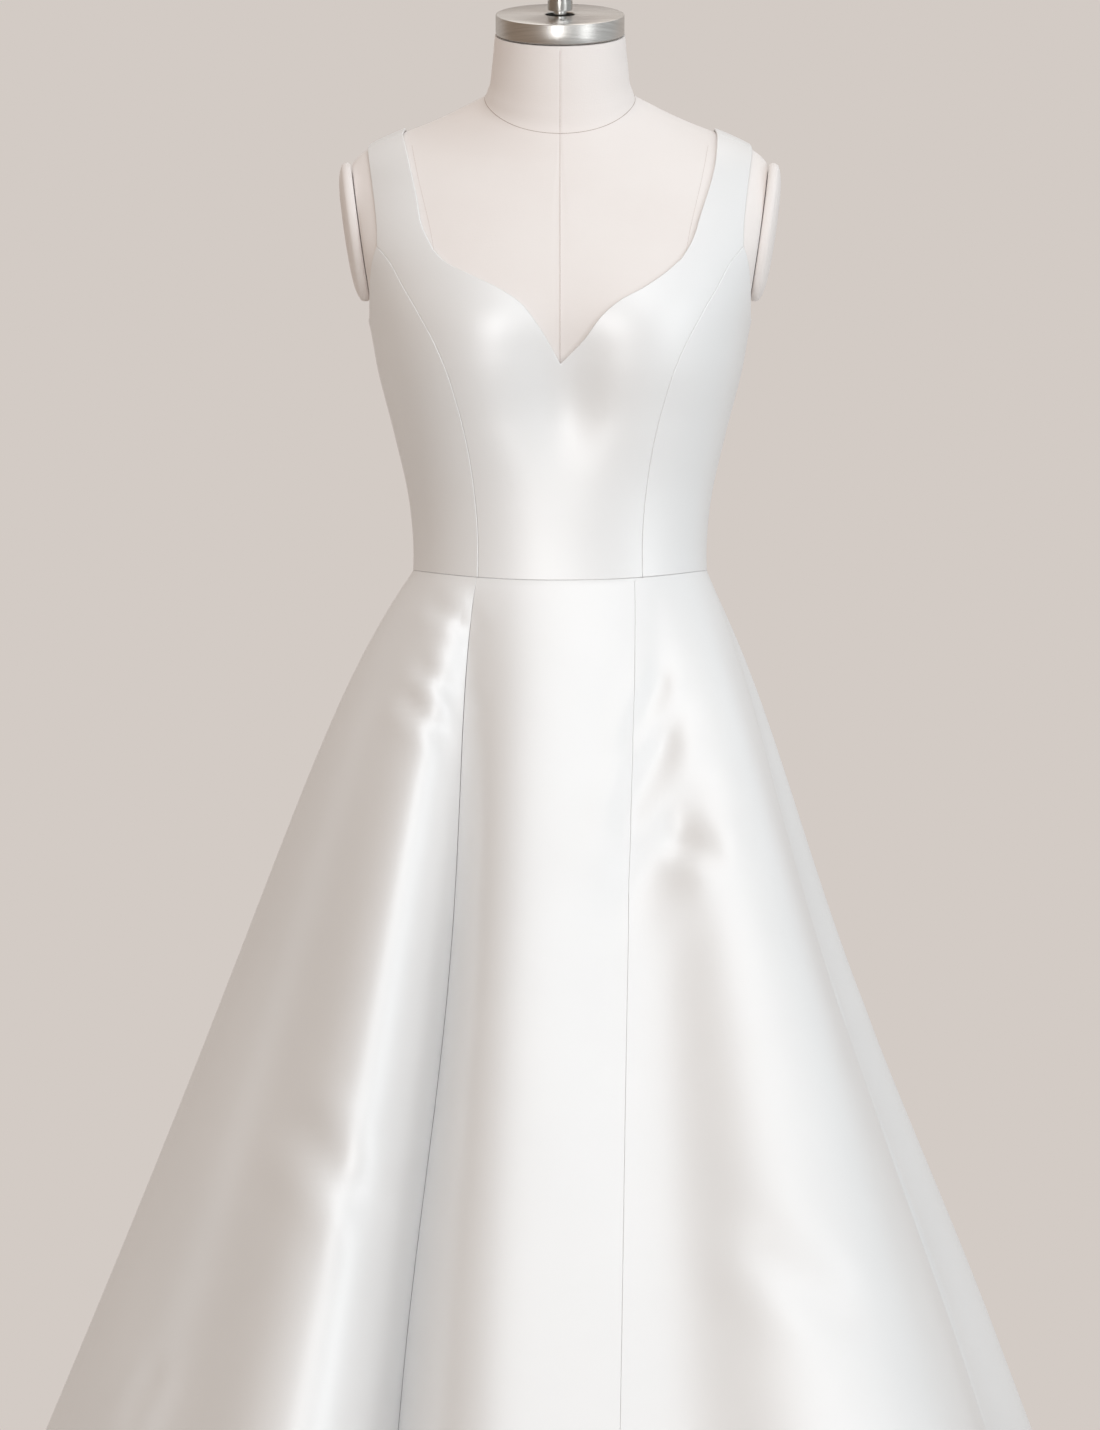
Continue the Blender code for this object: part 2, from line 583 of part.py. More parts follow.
def skirt_gores():
    """Seven gores, each from one seam line to the next, with the folds between them."""
    names = [row[0] for row in SKIRT]
    rings = [skirt_ring(level, SKIRT_STEPS) for level in SKIRT_LEVELS]
    for name, first, last in GORES:
        start = names.index(first)
        count = (names.index(last) - start) % len(names)
        rows, slopes = [], []
        for ring in rings:
            stretches = [ring[(start + k) % len(names)] for k in range(count)]
            rows.append(np.concatenate([s[0][:-1] for s in stretches] + [stretches[-1][0][-1:]]))
            slopes.append(np.concatenate([s[1][:-1] for s in stretches] + [stretches[-1][1][-1:]]))
        grid = np.array(rows)
        across = np.array(slopes)
        down = np.gradient(grid, np.array(SKIRT_LEVELS), axis=0)
        normals = unit(np.cross(down, across))
        normals[0, :, 2] = 0.0
        normals[0] = unit(normals[0])
        grid[:, 0] += unit(grid[:, 1] - grid[:, 0]) * SEAM_GAP / 2
        grid[:, -1] += unit(grid[:, -2] - grid[:, -1]) * SEAM_GAP / 2
        columns = grid.shape[1]
        faces = grid_faces(len(rows), columns, lambda r, c: r * columns + c)
        cloth(name, grid.reshape(-1, 3), normals.reshape(-1, 3), faces, -CLOTH, 0.0)


def loft(name, rings, kind, sharp=40.0):
    """A closed solid through rings of points, capped flat at both ends."""
    rings = np.array(rings)
    rows, columns = rings.shape[:2]
    faces = []
    for row in range(rows - 1):
        for column in range(columns):
            after = (column + 1) % columns
            faces.append((row * columns + column, row * columns + after,
                          (row + 1) * columns + after, (row + 1) * columns + column))
    faces.append(tuple(reversed(range(columns))))
    faces.append(tuple(range((rows - 1) * columns, rows * columns)))
    return add_object(name, rings.reshape(-1, 3), faces, kind, sharp)


def form_torso():
    """The torso and neck, with the hips drawn in at the underside."""
    turns = np.arange(TORSO_COLUMNS) * 360.0 / TORSO_COLUMNS
    rings = torso_grid(TORSO_LEVELS, turns)
    foot = torso_grid([TORSO[0][0]], turns)[0]
    foot[:, :2] *= FOOT_SHARE
    return loft("form_torso", np.concatenate([foot[None], rings]), FORM_CLOTH, 60.0)


def turned(name, profile, kind, matrix, sides=ROUND_STEPS):
    """A round solid from a profile of (radius, height) rows, bottom to top, placed by a matrix."""
    angles = np.arange(sides) * 2 * math.pi / sides
    rings = [np.stack([r * np.cos(angles), r * np.sin(angles), np.full(sides, z)], axis=-1) for r, z in profile]
    made = loft(name, rings, kind)
    made.matrix_world = matrix
    return made


def ring_solid(name, profile, kind, sides):
    """A round solid with a hole about the Z axis, from a closed profile of (radius, height) rows."""
    vertices, faces = [], []
    count = len(profile)
    for side in range(sides):
        angle = 2 * math.pi * side / sides
        vertices += [(r * math.cos(angle), r * math.sin(angle), z) for r, z in profile]
    for side in range(sides):
        a, b = side * count, (side + 1) % sides * count
        for k in range(count):
            after = (k + 1) % count
            faces.append((a + k, b + k, b + after, a + after))
    return add_object(name, vertices, faces, kind)


def arm_plates():
    """An oval domed plate on each armhole."""
    angles = np.arange(ROUND_STEPS) * 2 * math.pi / ROUND_STEPS
    x, y, z = PLATE_CENTRE
    for hand, name in ((-1, "left"), (1, "right")):
        rings = [np.stack([PLATE_HALF_HEIGHT * s * np.cos(angles), PLATE_HALF_DEPTH * s * np.sin(angles),
                           np.full(ROUND_STEPS, h)], axis=-1) for s, h in PLATE_PROFILE]
        made = loft(f"form_arm_plate_{name}", rings, FORM_CLOTH, 60.0)
        place = Matrix.Translation((hand * x, y, z))
        made.matrix_world = place @ Matrix.Rotation(hand * (math.pi / 2 + ARMHOLE_LEAN), 4, "Y")


def neck_cap():
    """The steel cap on the neck, with a hole for the stem, and the rod that stands in it."""
    section = TORSO[-1]
    seat = Matrix.Translation((0, section[4], section[0])) @ Matrix.Rotation(NECK_LEAN, 4, "X")
    low, high = FIT_GAP, FIT_GAP + CAP_THICKNESS
    floor = low + CAP_FLOOR
    cap = ((CAP_RADIUS - CAP_EDGE, low), (CAP_RADIUS, low + CAP_EDGE), (CAP_RADIUS, high - CAP_EDGE),
           (CAP_RADIUS - CAP_EDGE, high), (CAP_HOLE_RADIUS, high), (CAP_HOLE_RADIUS, floor))
    turned("form_neck_cap", cap, STEEL, seat)
    foot = floor + FIT_GAP
    sleeve = high + STEM_SHOWN
    top = high + ROD_REACH
    rod = ((STEM_RADIUS, foot), (STEM_RADIUS, sleeve), (ROD_RADIUS - ROD_EDGE, sleeve),
           (ROD_RADIUS, sleeve + ROD_EDGE), (ROD_RADIUS, top - 4 * ROD_EDGE),
           (ROD_RADIUS - ROD_EDGE, top - 2 * ROD_EDGE), (ROD_RADIUS - 4 * ROD_EDGE, top))
    turned("form_neck_rod", rod, STEEL, seat, 24)


def stand():
    """A round base, a pole and the collar that carries the form."""
    underside = TORSO[0][0]
    base = ((BASE_RADIUS - STAND_EDGE, 0.0), (BASE_RADIUS, STAND_EDGE),
            (BASE_RADIUS, BASE_THICKNESS - 2 * STAND_EDGE), (BASE_RADIUS - 2 * STAND_EDGE, BASE_THICKNESS))
    turned("stand_base", base, STEEL, Matrix.Identity(4), 48)
    hole = POLE_RADIUS + FIT_GAP
    neck = COLLAR_RADIUS - COLLAR_STEP
    top = underside - FIT_GAP
    foot = top - COLLAR_HEIGHT
    flange = underside - COLLAR_FLANGE
    profile = ((hole, foot), (neck - STAND_EDGE, foot), (neck, foot + STAND_EDGE), (neck, flange - STAND_EDGE),
               (COLLAR_RADIUS, flange), (COLLAR_RADIUS, top), (hole, top))
    ring_solid("stand_collar", profile, STEEL, 32)
    pole = ((POLE_RADIUS, BASE_THICKNESS + FIT_GAP), (POLE_RADIUS, foot + COLLAR_HEIGHT / 2))
    turned("stand_pole", pole, STEEL, Matrix.Identity(4), 24)


def box(name, size, centre, kind):
    """A plain box about a centre."""
    corners = [(x, y, z) for x in (-0.5, 0.5) for y in (-0.5, 0.5) for z in (-0.5, 0.5)]
    vertices = [tuple(c * s + m for c, s, m in zip(corner, size, centre)) for corner in corners]
    faces = [(0, 1, 3, 2), (4, 6, 7, 5), (0, 4, 5, 1), (2, 3, 7, 6), (0, 2, 6, 4), (1, 5, 7, 3)]
    return add_object(name, vertices, faces, kind)


def cut(target, size, centre):
    """Cut a box-shaped hole out of an object, in its own axes."""
    cutter = box(f"{target.name}_cutter", size, centre, ZIP_METAL)
    cutter.matrix_world = target.matrix_world
    cutter.hide_render = True
    cutter.display_type = "WIRE"
    hole = target.modifiers.new("hole", "BOOLEAN")
    hole.operation = "DIFFERENCE"
    hole.solver = "EXACT"
    hole.object = cutter


def zip_pull(skin):
    """The slider at the top of the centre back closure, and the tab that swings in its bridge."""
    place, normal = skin.onto(skin.seen(0.0, BACK_NECK_HEIGHT - SLIDER_BELOW_NECK, 1))
    lean = math.atan2(normal.z, normal.y)
    seat = place + normal * (CARRY_GAP + CLOTH + FIT_GAP + SLIDER_DEPTH / 2)
    frame = Matrix.Translation(seat) @ Matrix.Rotation(lean, 4, "X")
    slider = box("zip_slider", (SLIDER_WIDTH, SLIDER_DEPTH, SLIDER_LENGTH), (0, 0, 0), ZIP_METAL)
    slider.matrix_world = frame
    axis_y = SLIDER_DEPTH / 2 - BRIDGE_BAR - BRIDGE_HOLE / 2
    cut(slider, (SLIDER_WIDTH * 2, BRIDGE_HOLE, SLIDER_LENGTH - 2 * BRIDGE_END), (0, axis_y, 0))
    hinge = bpy.data.objects.new("zip_hinge", None)
    bpy.context.scene.collection.objects.link(hinge)
    hinge.location = frame @ Vector((0, axis_y, 0))
    bar = TAB_THICKNESS / 2
    tab = box("zip_tab", (TAB_WIDTH, TAB_THICKNESS, TAB_LENGTH), (0, 0, bar - TAB_LENGTH / 2), ZIP_METAL)
    tab.parent = hinge
    bpy.context.view_layer.update()
    window = SLIDER_LENGTH / 2 + TAB_WINDOW_REACH
    cut(tab, (SLIDER_WIDTH + TAB_WINDOW_PLAY, TAB_THICKNESS * 3, window), (0, 0, -bar - window / 2))


def build():
    clear_scene()
    skin = Surface()
    form_torso()
    arm_plates()
    neck_cap()
    stand()
    bodice_front(skin)
    bodice_sides(skin)
    bodice_backs(skin)
    skirt_gores()
    zip_pull(skin)


build()
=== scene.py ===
"""The looks of the satin wedding dress: cloth panels with folds and creases, dress form, stand, light.

Metres, +Z up, the front faces -Y, left and right are the viewer's. The tables of the form, the seams
and the skirt's lines are those of the solids, so every panel lies on its solid's own form. The
creases and the shallow dip below the neckline are this script's own.
"""

import math

import bpy
import numpy as np
from mathutils import Matrix, Vector, geometry
from mathutils.bvhtree import BVHTree


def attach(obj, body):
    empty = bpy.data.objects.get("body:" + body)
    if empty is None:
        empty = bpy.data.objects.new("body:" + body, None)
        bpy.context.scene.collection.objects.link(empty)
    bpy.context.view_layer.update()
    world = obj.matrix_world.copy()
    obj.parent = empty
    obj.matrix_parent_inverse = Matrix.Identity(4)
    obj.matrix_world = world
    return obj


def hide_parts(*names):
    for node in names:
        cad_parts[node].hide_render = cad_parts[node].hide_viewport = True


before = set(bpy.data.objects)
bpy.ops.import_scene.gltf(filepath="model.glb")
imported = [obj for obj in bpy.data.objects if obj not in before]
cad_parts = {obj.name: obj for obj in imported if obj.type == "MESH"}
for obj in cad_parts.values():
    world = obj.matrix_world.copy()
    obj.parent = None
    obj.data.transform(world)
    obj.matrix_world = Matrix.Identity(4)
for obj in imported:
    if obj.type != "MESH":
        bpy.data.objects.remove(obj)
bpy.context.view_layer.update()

# Dress sizes
WAIST_HEIGHT = 1.094
WAIST_DIP = 0.010
HEM_HEIGHT = 0.005
CLOTH = 0.0020
CARRY_GAP = 0.0012
SEAM_GAP = 0.0001
BODICE_EDGE = 0.0006
SKIRT_EDGE = 0.0003
EDGE_SEGMENTS = 2
EDGE_ANGLE = math.radians(60)
FRONT_SEAM_TURN = 31.5
SIDE_SEAM_TURN = 90.0
BACK_SEAM_TURN = 149.0
ARMHOLE_BOTTOM = 1.300
ARMHOLE_MIDDLE = 0.1560
ARMHOLE_RISE = 0.012
SHOULDER_RIDGE_Y = 0.011
SHOULDER_BACK_YS = (0.072, 0.052, 0.032)
BACK_NECK_HEIGHT = 1.262

# The zip's coil: its ends below the neck and above the waist, and its radius
ZIP_BELOW_NECK = 0.020
ZIP_ABOVE_WAIST = 0.002
ZIP_COIL = 0.0007

# The hollow between the cups, and the shallow dip below the neckline
HOLLOW_DEPTH = 0.012
HOLLOW_HALF_WIDTH = 0.050
HOLLOW_HEIGHT = 1.262
HOLLOW_REACH = 0.068
DIP_DEPTH = 0.0060
DIP_X = 0.006
DIP_HALF_WIDTH = 0.034
DIP_HEIGHT = 1.225
DIP_REACH = 0.050

# Form sizes
ARMHOLE_X = 0.1709
ARMHOLE_Z = 1.405
ARMHOLE_LEAN = math.radians(8.2)
ARMHOLE_START = 1.306
ARMHOLE_RELEASE = 4.0
ARMHOLE_SOFT = 0.0012
PLATE_HALF_DEPTH = 0.046
PLATE_HALF_HEIGHT = 0.059
PLATE_CENTRE = (0.1675, 0.004, 1.3795)
PLATE_SIDES = 96
PLATE_STEPS = 6
FOOT_SHARE = 0.95
FOOT_RISE = 0.006
OVERHEAD = 2.0
NECK_BASE = 1.4835
NECK_BASE_RISE = 0.0075
NECK_LEAN = math.radians(17.0)
FIT_GAP = 0.0003

# The form's threads, and the line down from each shoulder as (height, distance from the centre)
THREAD = 0.0003
THREAD_SIDES = 8
NECK_SEAM_POINTS = 181
CENTRE_LINE_POINTS = 90
LINE_POINTS = 60
CENTRE_LINE_END = 0.02
FORM_LINE = ((1.28, 0.0925), (1.33, 0.100), (1.37, 0.1065), (1.42, 0.118), (1.45, 0.124))

# The grooves of the form's seams, and the princess line's as (height, distance from the centre)
GROOVE_WIDTH = 0.0006
CENTRE_GROOVE = 0.0005
PRINCESS_GROOVE = 0.0004
GROOVE_BOTTOM = 1.30
GROOVE_TOP = 1.458
GROOVE_LINE = ((1.20, 0.085), (1.30, 0.097), (1.36, 0.106), (1.42, 0.118), (1.46, 0.124))

# The neck's steel cap and rod
CAP_RADIUS = 0.054
CAP_THICKNESS = 0.017
CAP_FLOOR = 0.004
CAP_EDGE = 0.0011
CAP_SOFT_SHARE = 0.3
CAP_TOP_RING = 0.6
CAP_HOLE_RADIUS = 0.0125
CAP_HOLE_EDGE = 0.0006
CAP_SIDES = 128
ROD_RADIUS = 0.0105
STEM_RADIUS = 0.0055
ROD_REACH = 0.055
SLEEVE_RISE = 0.0035
ROD_SIDES = 64

# The rod's rounded ends: how far in from its radius, and how far from the end
SLEEVE_EDGE = ((0.0012, 0.0), (0.0003, 0.0003), (0.0, 0.0012))
ROD_END = ((0.0, 0.005), (0.0006, 0.003), (0.0022, 0.0012), (0.005, 0.0))

# The arm plate's dome from its back to its crown: share of the outline, and height
PLATE_PROFILE = (
    (0.955, FIT_GAP), (0.985, 0.0016), (1.0, 0.0034), (0.985, 0.0062), (0.93, 0.0088), (0.82, 0.0110),
    (0.62, 0.0127), (0.35, 0.0135), (0.12, 0.0138),
)

# Camera and room
SCALE = 0.00084
PICTURE = (1100, 1430)
CENTRE_PIXEL = 560
CAMERA_DISTANCE = 4.5
CAMERA_HEIGHT = 0.973
SENSOR = 36.0
FLOOR_RADIUS = 2.2
FLOOR_DEPTH = 0.02
FLOOR_DROP = 0.0002
FLOOR_SIDES = 128
FLOOR_TONE = (0.60, 0.58, 0.565, 1)
WALL_TONE = (0.651, 0.597, 0.558)
LEFT_TONE = (0.35, 0.268, 0.205)
RIGHT_TONE = (0.62, 0.645, 0.655)
SIDE_BLEND = (-0.7, 0.7)
DEPTH_BLEND = (0.2, 0.7)
LIGHT_AIM = (0.0, -0.1, 1.0)

# Lights: name, place, width and height, power in watts, colour
LIGHTS = (
    ("high_window", (1.0, -3.2, 3.9), (2.2, 2.4), 30, (0.94, 0.97, 1.0)),
    ("low_window", (3.1, -2.9, 1.5), (1.3, 2.8), 24, (0.94, 0.97, 1.0)),
    ("front", (-0.45, -4.7, 1.2), (0.55, 2.4), 49, (0.96, 0.98, 1.0)),
    ("above", (-0.2, -1.7, 4.5), (1.4, 1.2), 16, (0.96, 0.98, 1.0)),
    ("behind", (0.2, 1.6, 4.6), (2.0, 1.6), 14, (1.0, 0.97, 0.94)),
)

# Steels: the brushing's darker and lighter tone, and roughness
STEELS = {
    "cap_steel": ((0.52, 0.50, 0.475, 1), (0.62, 0.60, 0.575, 1), 0.26),
    "rod_steel": ((0.62, 0.62, 0.61, 1), (0.72, 0.72, 0.71, 1), 0.16),
    "stand_steel": ((0.50, 0.49, 0.47, 1), (0.60, 0.59, 0.57, 1), 0.30),
    "zip_metal": ((0.66, 0.65, 0.63, 1), (0.76, 0.75, 0.73, 1), 0.24),
}

# Colours of the threads and the coil. The neck seam's dark brown is painted shade: the seam is real, and
# its darkness stands in for the shade along it.
THREADS = {
    # Painted shade: the neck seam's dark line stands in for the shade along the seam at the neck's base
    "painted_seam_shade": (0.46, 0.37, 0.33),
    "fine_line": (0.80, 0.72, 0.69),
    "zip_nylon": (0.80, 0.79, 0.77),
}
THREAD_SHADE = 0.85

# Angles in degrees above which an edge is shaded sharp
SHARP_CLOTH = 50.0
SHARP_TORSO = 75.0
SHARP_ROUNDED = 60.0
SHARP_CAP = 30.0
SHARP_LOFT = 40.0
SHARP_STAND = 35.0

# Fineness of the grids
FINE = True
SEAM_ROWS = 56 if FINE else 28
POINT_ROW = SEAM_ROWS * 4 // 7
STRAP_ROWS = {-1: 28, 1: 44}
FRONT_COLUMNS = 32 if FINE else 16
SIDE_COLUMNS = 24 if FINE else 12
BACK_COLUMNS = 24 if FINE else 12
SKIRT_STEPS = 16 if FINE else 8
SKIRT_ROWS = 130 if FINE else 60
SKIN_COLUMNS = 240
SKIN_STEP = 0.0025
FORM_COLUMNS = 360 if FINE else 180
FORM_STEP = 0.0015 if FINE else 0.003
ROW_CROWDING = 1.25
SMOOTHING = 2.6

# How the creases fade at the sharp seams, the waist and their own ends, and the rims beside them
EDGE_FADE = 2.0
WAIST_FADE = 0.03
CREASE_END = 1.3
RIM_SHARE = 0.45
RIM_DISTANCE = 1.8

# The form: height of each section's centre, half width, depth in front, depth behind, centre's y,
# squareness of the outline, and forward lean of the section in degrees
TORSO = (
    (0.800, 0.150, 0.100, 0.110, 0.010, 2.20, 0.0),
    (0.880, 0.166, 0.110, 0.124, 0.014, 2.20, 0.0),
    (0.960, 0.154, 0.104, 0.116, 0.011, 2.20, 0.0),
    (1.030, 0.133, 0.092, 0.096, 0.004, 2.20, 0.0),
    (1.090, 0.1205, 0.084, 0.085, 0.000, 2.20, 0.0),
    (1.150, 0.1230, 0.089, 0.091, 0.000, 2.25, 0.0),
    (1.210, 0.1360, 0.103, 0.102, -0.001, 2.35, 0.0),
    (1.265, 0.1500, 0.119, 0.111, -0.001, 2.45, 0.0),
    (1.300, 0.1565, 0.123, 0.115, 0.000, 2.45, 2.0),
    (1.340, 0.1680, 0.117, 0.118, 0.003, 2.40, 5.0),
    (1.380, 0.1830, 0.107, 0.113, 0.007, 2.30, 9.0),
    (1.410, 0.1860, 0.099, 0.105, 0.010, 2.20, 13.0),
    (1.430, 0.1790, 0.095, 0.097, 0.011, 2.10, 17.0),
    (1.4445, 0.1660, 0.092, 0.090, 0.011, 2.00, 20.0),
    (1.4535, 0.1480, 0.089, 0.085, 0.011, 1.95, 21.0),
    (1.4635, 0.1200, 0.084, 0.080, 0.010, 1.90, 22.5),
    (1.478, 0.0850, 0.074, 0.072, 0.007, 1.95, 24.0),
    (1.4865, 0.0675, 0.065, 0.066, 0.004, 2.00, 24.5),
    (1.498, 0.0605, 0.060, 0.061, 0.000, 2.00, 22.5),
    (1.518, 0.0570, 0.057, 0.057, -0.005, 2.00, 19.5),
    (1.543, 0.0545, 0.0545, 0.0545, -0.012, 2.00, 17.0),
)

# Seams and edges of the bodice as (distance from the centre line, height), read square on
FRONT_PRINCESS = ((0.0670, 1.125), (0.0700, 1.160), (0.0755, 1.195), (0.0835, 1.228), (0.0930, 1.258),
                  (0.1040, 1.283), (0.1160, 1.305), (0.1290, 1.328), (0.1390, 1.347), (0.1500, 1.361))
ARM_EDGE_FRONT = ((0.1505, 1.374), (0.1530, 1.397), (0.1570, 1.424))
NECKLINE_LEFT = ((0.017, 1.290), (0.034, 1.311), (0.049, 1.321), (0.0745, 1.334), (0.095, 1.3455))
NECKLINE_RIGHT = ((0.0205, 1.282), (0.0335, 1.299), (0.0475, 1.311), (0.067, 1.322), (0.084, 1.334))
NECK_CORNER_LEFT = (0.1035, 1.355)
NECK_CORNER_RIGHT = (0.0985, 1.347)
STRAP_EDGE_LEFT = ((0.1130, 1.375), (0.1180, 1.401), (0.1250, 1.432))
STRAP_EDGE_RIGHT = ((0.1075, 1.362), (0.1150, 1.385), (0.1240, 1.413))
NECK_POINT_HEIGHT = 1.2615
SHOULDER_INNER = 0.1315
SHOULDER_OUTER = 0.1605
BACK_PRINCESS = ((0.0690, 1.135), (0.0760, 1.180), (0.0880, 1.230), (0.1060, 1.280), (0.1270, 1.322),
                 (0.1440, 1.350))
ARM_EDGE_BACK = ((0.1465, 1.368), (0.1505, 1.390), (0.1540, 1.408))
BACK_NECKLINE = ((0.030, 1.268), (0.058, 1.288), (0.082, 1.320))
BACK_NECK_CORNER = (0.1000, 1.352)
BACK_STRAP_EDGE = ((0.1110, 1.382), (0.1200, 1.410), (0.1270, 1.437))

# Neckline, its corner and the strap's inner edge, for each hand (-1 left) and side (-1 front)
INNER_EDGES = {
    (-1, -1): (NECKLINE_LEFT, NECK_CORNER_LEFT, STRAP_EDGE_LEFT),
    (1, -1): (NECKLINE_RIGHT, NECK_CORNER_RIGHT, STRAP_EDGE_RIGHT),
    (-1, 1): (BACK_NECKLINE, BACK_NECK_CORNER, BACK_STRAP_EDGE),
    (1, 1): (BACK_NECKLINE, BACK_NECK_CORNER, BACK_STRAP_EDGE),
}

# Lines that run down the skirt: turn from the centre front at the waist in degrees, hem x, hem y,
# swell at the hip, swell at the knee, and whether the cloth folds sharply there
SKIRT = (
    ("centre_front", 0.0, -0.012, -0.506, 0.006, 0.000, False),
    ("right_front_seam", 31.5, 0.030, -0.510, 0.004, -0.003, False),
    ("right_dip", 36.0, 0.122, -0.505, 0.003, 0.000, False),
    ("right_roll", 43.0, 0.236, -0.550, 0.003, 0.003, False),
    ("right_crest", 56.0, 0.395, -0.510, 0.008, 0.005, False),
    ("right_flank", 70.0, 0.450, -0.350, 0.006, -0.006, False),
    ("right_fold", 81.0, 0.478, -0.158, 0.006, -0.013, False),
    ("right_side_seam", 90.0, 0.465, -0.015, 0.006, -0.013, False),
    ("right_back_fold", 101.0, 0.560, 0.172, 0.010, -0.010, False),
    ("right_back_valley", 118.0, 0.450, 0.277, 0.014, 0.000, False),
    ("right_back_crest", 134.0, 0.407, 0.480, 0.016, 0.000, False),
    ("right_back_seam", 149.0, 0.253, 0.482, 0.016, 0.000, False),
    ("right_train_crest", 164.0, 0.140, 0.606, 0.016, 0.000, False),
    ("centre_back", 180.0, 0.000, 0.567, 0.016, 0.000, True),
    ("left_train_crest", 196.0, -0.133, 0.606, 0.016, 0.000, False),
    ("left_back_seam", 211.0, -0.246, 0.482, 0.016, 0.000, False),
    ("left_back_crest", 223.0, -0.387, 0.493, 0.016, 0.000, False),
    ("left_back_valley", 235.0, -0.425, 0.310, 0.014, 0.000, False),
    ("left_back_fold", 248.0, -0.553, 0.206, 0.016, 0.000, False),
    ("left_side", 261.0, -0.592, 0.024, 0.016, 0.000, False),
    ("left_side_seam", 270.0, -0.568, -0.111, 0.016, 0.000, False),
    ("left_crest_outer", 284.0, -0.485, -0.296, 0.014, 0.000, False),
    ("left_valley", 298.0, -0.420, -0.335, 0.010, 0.000, False),
    ("left_crest_inner", 312.0, -0.336, -0.460, 0.008, 0.000, False),
    ("left_roll", 321.0, -0.262, -0.474, 0.007, 0.004, False),
    ("left_front_seam", 328.5, -0.164, -0.322, 0.005, -0.016, True),
    ("centre_left", 344.0, -0.104, -0.504, 0.006, 0.000, False),
)
HIP_LEVEL = 0.13
KNEE_LEVEL = 0.60

# Gores: the solid's name, and the lines at its two sides
GORES = (
    ("skirt_front", "left_front_seam", "right_front_seam"),
    ("skirt_side_front_right", "right_front_seam", "right_side_seam"),
    ("skirt_side_back_right", "right_side_seam", "right_back_seam"),
    ("skirt_back_right", "right_back_seam", "centre_back"),
    ("skirt_back_left", "centre_back", "left_back_seam"),
    ("skirt_side_back_left", "left_back_seam", "left_side_seam"),
    ("skirt_side_front_left", "left_side_seam", "left_front_seam"),
)

# Creases: x and z of one end, x and z of the other, half width, depth (a trough where negative), and
# side (-1 front)
CREASES = (
    (-0.101, 1.063, -0.076, 1.048, 0.009, -0.0020, -1),
    (-0.112, 1.010, -0.080, 0.986, 0.009, -0.0022, -1),
    (-0.122, 0.984, -0.092, 0.956, 0.010, -0.0026, -1),
    (0.058, 0.955, 0.080, 0.998, 0.009, -0.0022, -1),
    (0.056, 0.893, 0.082, 0.950, 0.013, -0.0030, -1),
    (0.062, 0.838, 0.098, 0.880, 0.022, -0.0040, -1),
    (0.098, 0.872, 0.120, 0.862, 0.012, -0.0024, -1),
    (-0.197, 0.632, -0.160, 0.594, 0.018, -0.0036, -1),
    (-0.330, 0.440, -0.345, 0.418, 0.010, -0.0030, -1),
    (0.165, 0.552, 0.206, 0.518, 0.020, -0.0026, -1),
    (0.262, 0.670, 0.350, 0.380, 0.009, -0.0026, -1),
    (-0.120, 1.020, -0.078, 0.990, 0.010, -0.0024, 1),
    (0.080, 0.960, 0.110, 1.000, 0.011, -0.0026, 1),
    (0.220, 0.700, 0.180, 0.740, 0.016, -0.0035, 1),
    (-0.260, 0.560, -0.215, 0.600, 0.016, -0.0035, 1),
)


def unit(vectors):
    """Scale each vector to a length of one."""
    return vectors / np.linalg.norm(vectors, axis=-1, keepdims=True)


def smooth_columns(rows, at):
    """Read every column of a table at new values of its first column, along smooth curves."""
    table = np.array(rows, dtype=float)
    knots = table[:, 0]
    values = table[:, 1:]
    slopes = np.gradient(values, knots, axis=0)
    at = np.clip(np.asarray(at, dtype=float), knots[0], knots[-1])
    k = np.clip(np.searchsorted(knots, at, side="right") - 1, 0, len(knots) - 2)
    step = (knots[k + 1] - knots[k])[:, None]
    t = ((at - knots[k]) / step[:, 0])[:, None]
    start = (2 * t**3 - 3 * t**2 + 1) * values[k] + (t**3 - 2 * t**2 + t) * step * slopes[k]
    end = (3 * t**2 - 2 * t**3) * values[k + 1] + (t**3 - t**2) * step * slopes[k + 1]
    return start + end


def signed_power(base, power):
    """Raise the size of each value to a power, and keep its sign."""
    return np.sign(base) * np.abs(base) ** power


def soft_limit(x, limit):
    """Hold x within a limit on both sides, with a soft corner where it meets the limit."""
    size = np.abs(x)
    over = ARMHOLE_SOFT * np.log1p(np.exp(-np.abs(size - limit) / ARMHOLE_SOFT))
    return np.sign(x) * (np.minimum(size, limit) - over)


def torso_grid(levels, turns):
    """Points of the form's surface, a row for each section height, a column for each turn in degrees."""
    levels = np.asarray(levels, dtype=float)
    columns = smooth_columns(TORSO, levels)
    half, front, back, centre, square, lean = (columns[:, i][:, None] for i in range(6))
    turns = np.radians(np.asarray(turns, dtype=float))[None, :]
    lean = np.radians(lean)
    x = half * signed_power(np.sin(turns), 2 / square)
    depth = np.where(np.cos(turns) > 0, front, back)
    along = -depth * signed_power(np.cos(turns), 2 / square)
    y = centre + along * np.cos(lean)
    z = levels[:, None] + along * np.sin(lean)
    hollow = np.exp(-((x / HOLLOW_HALF_WIDTH) ** 2) - ((z - HOLLOW_HEIGHT) / HOLLOW_REACH) ** 2)
    dip = np.exp(-(((x - DIP_X) / DIP_HALF_WIDTH) ** 2) - ((z - DIP_HEIGHT) / DIP_REACH) ** 2)
    y = y + (HOLLOW_DEPTH * hollow + DIP_DEPTH * dip) * np.clip(-y / front, 0, 1)
    limit = ARMHOLE_X + (z - ARMHOLE_Z) * math.tan(ARMHOLE_LEAN)
    limit = limit + np.maximum(0.0, ARMHOLE_START - z) * ARMHOLE_RELEASE
    return np.stack([soft_limit(x, limit), y, z], axis=-1)


def grid_normals(grid):
    """Outward normals of a closed grid whose columns run anticlockwise seen from above, rows upward."""
    across = np.roll(grid, -1, axis=1) - np.roll(grid, 1, axis=1)
    upward = np.gradient(grid, axis=0)
    return unit(np.cross(across, upward))


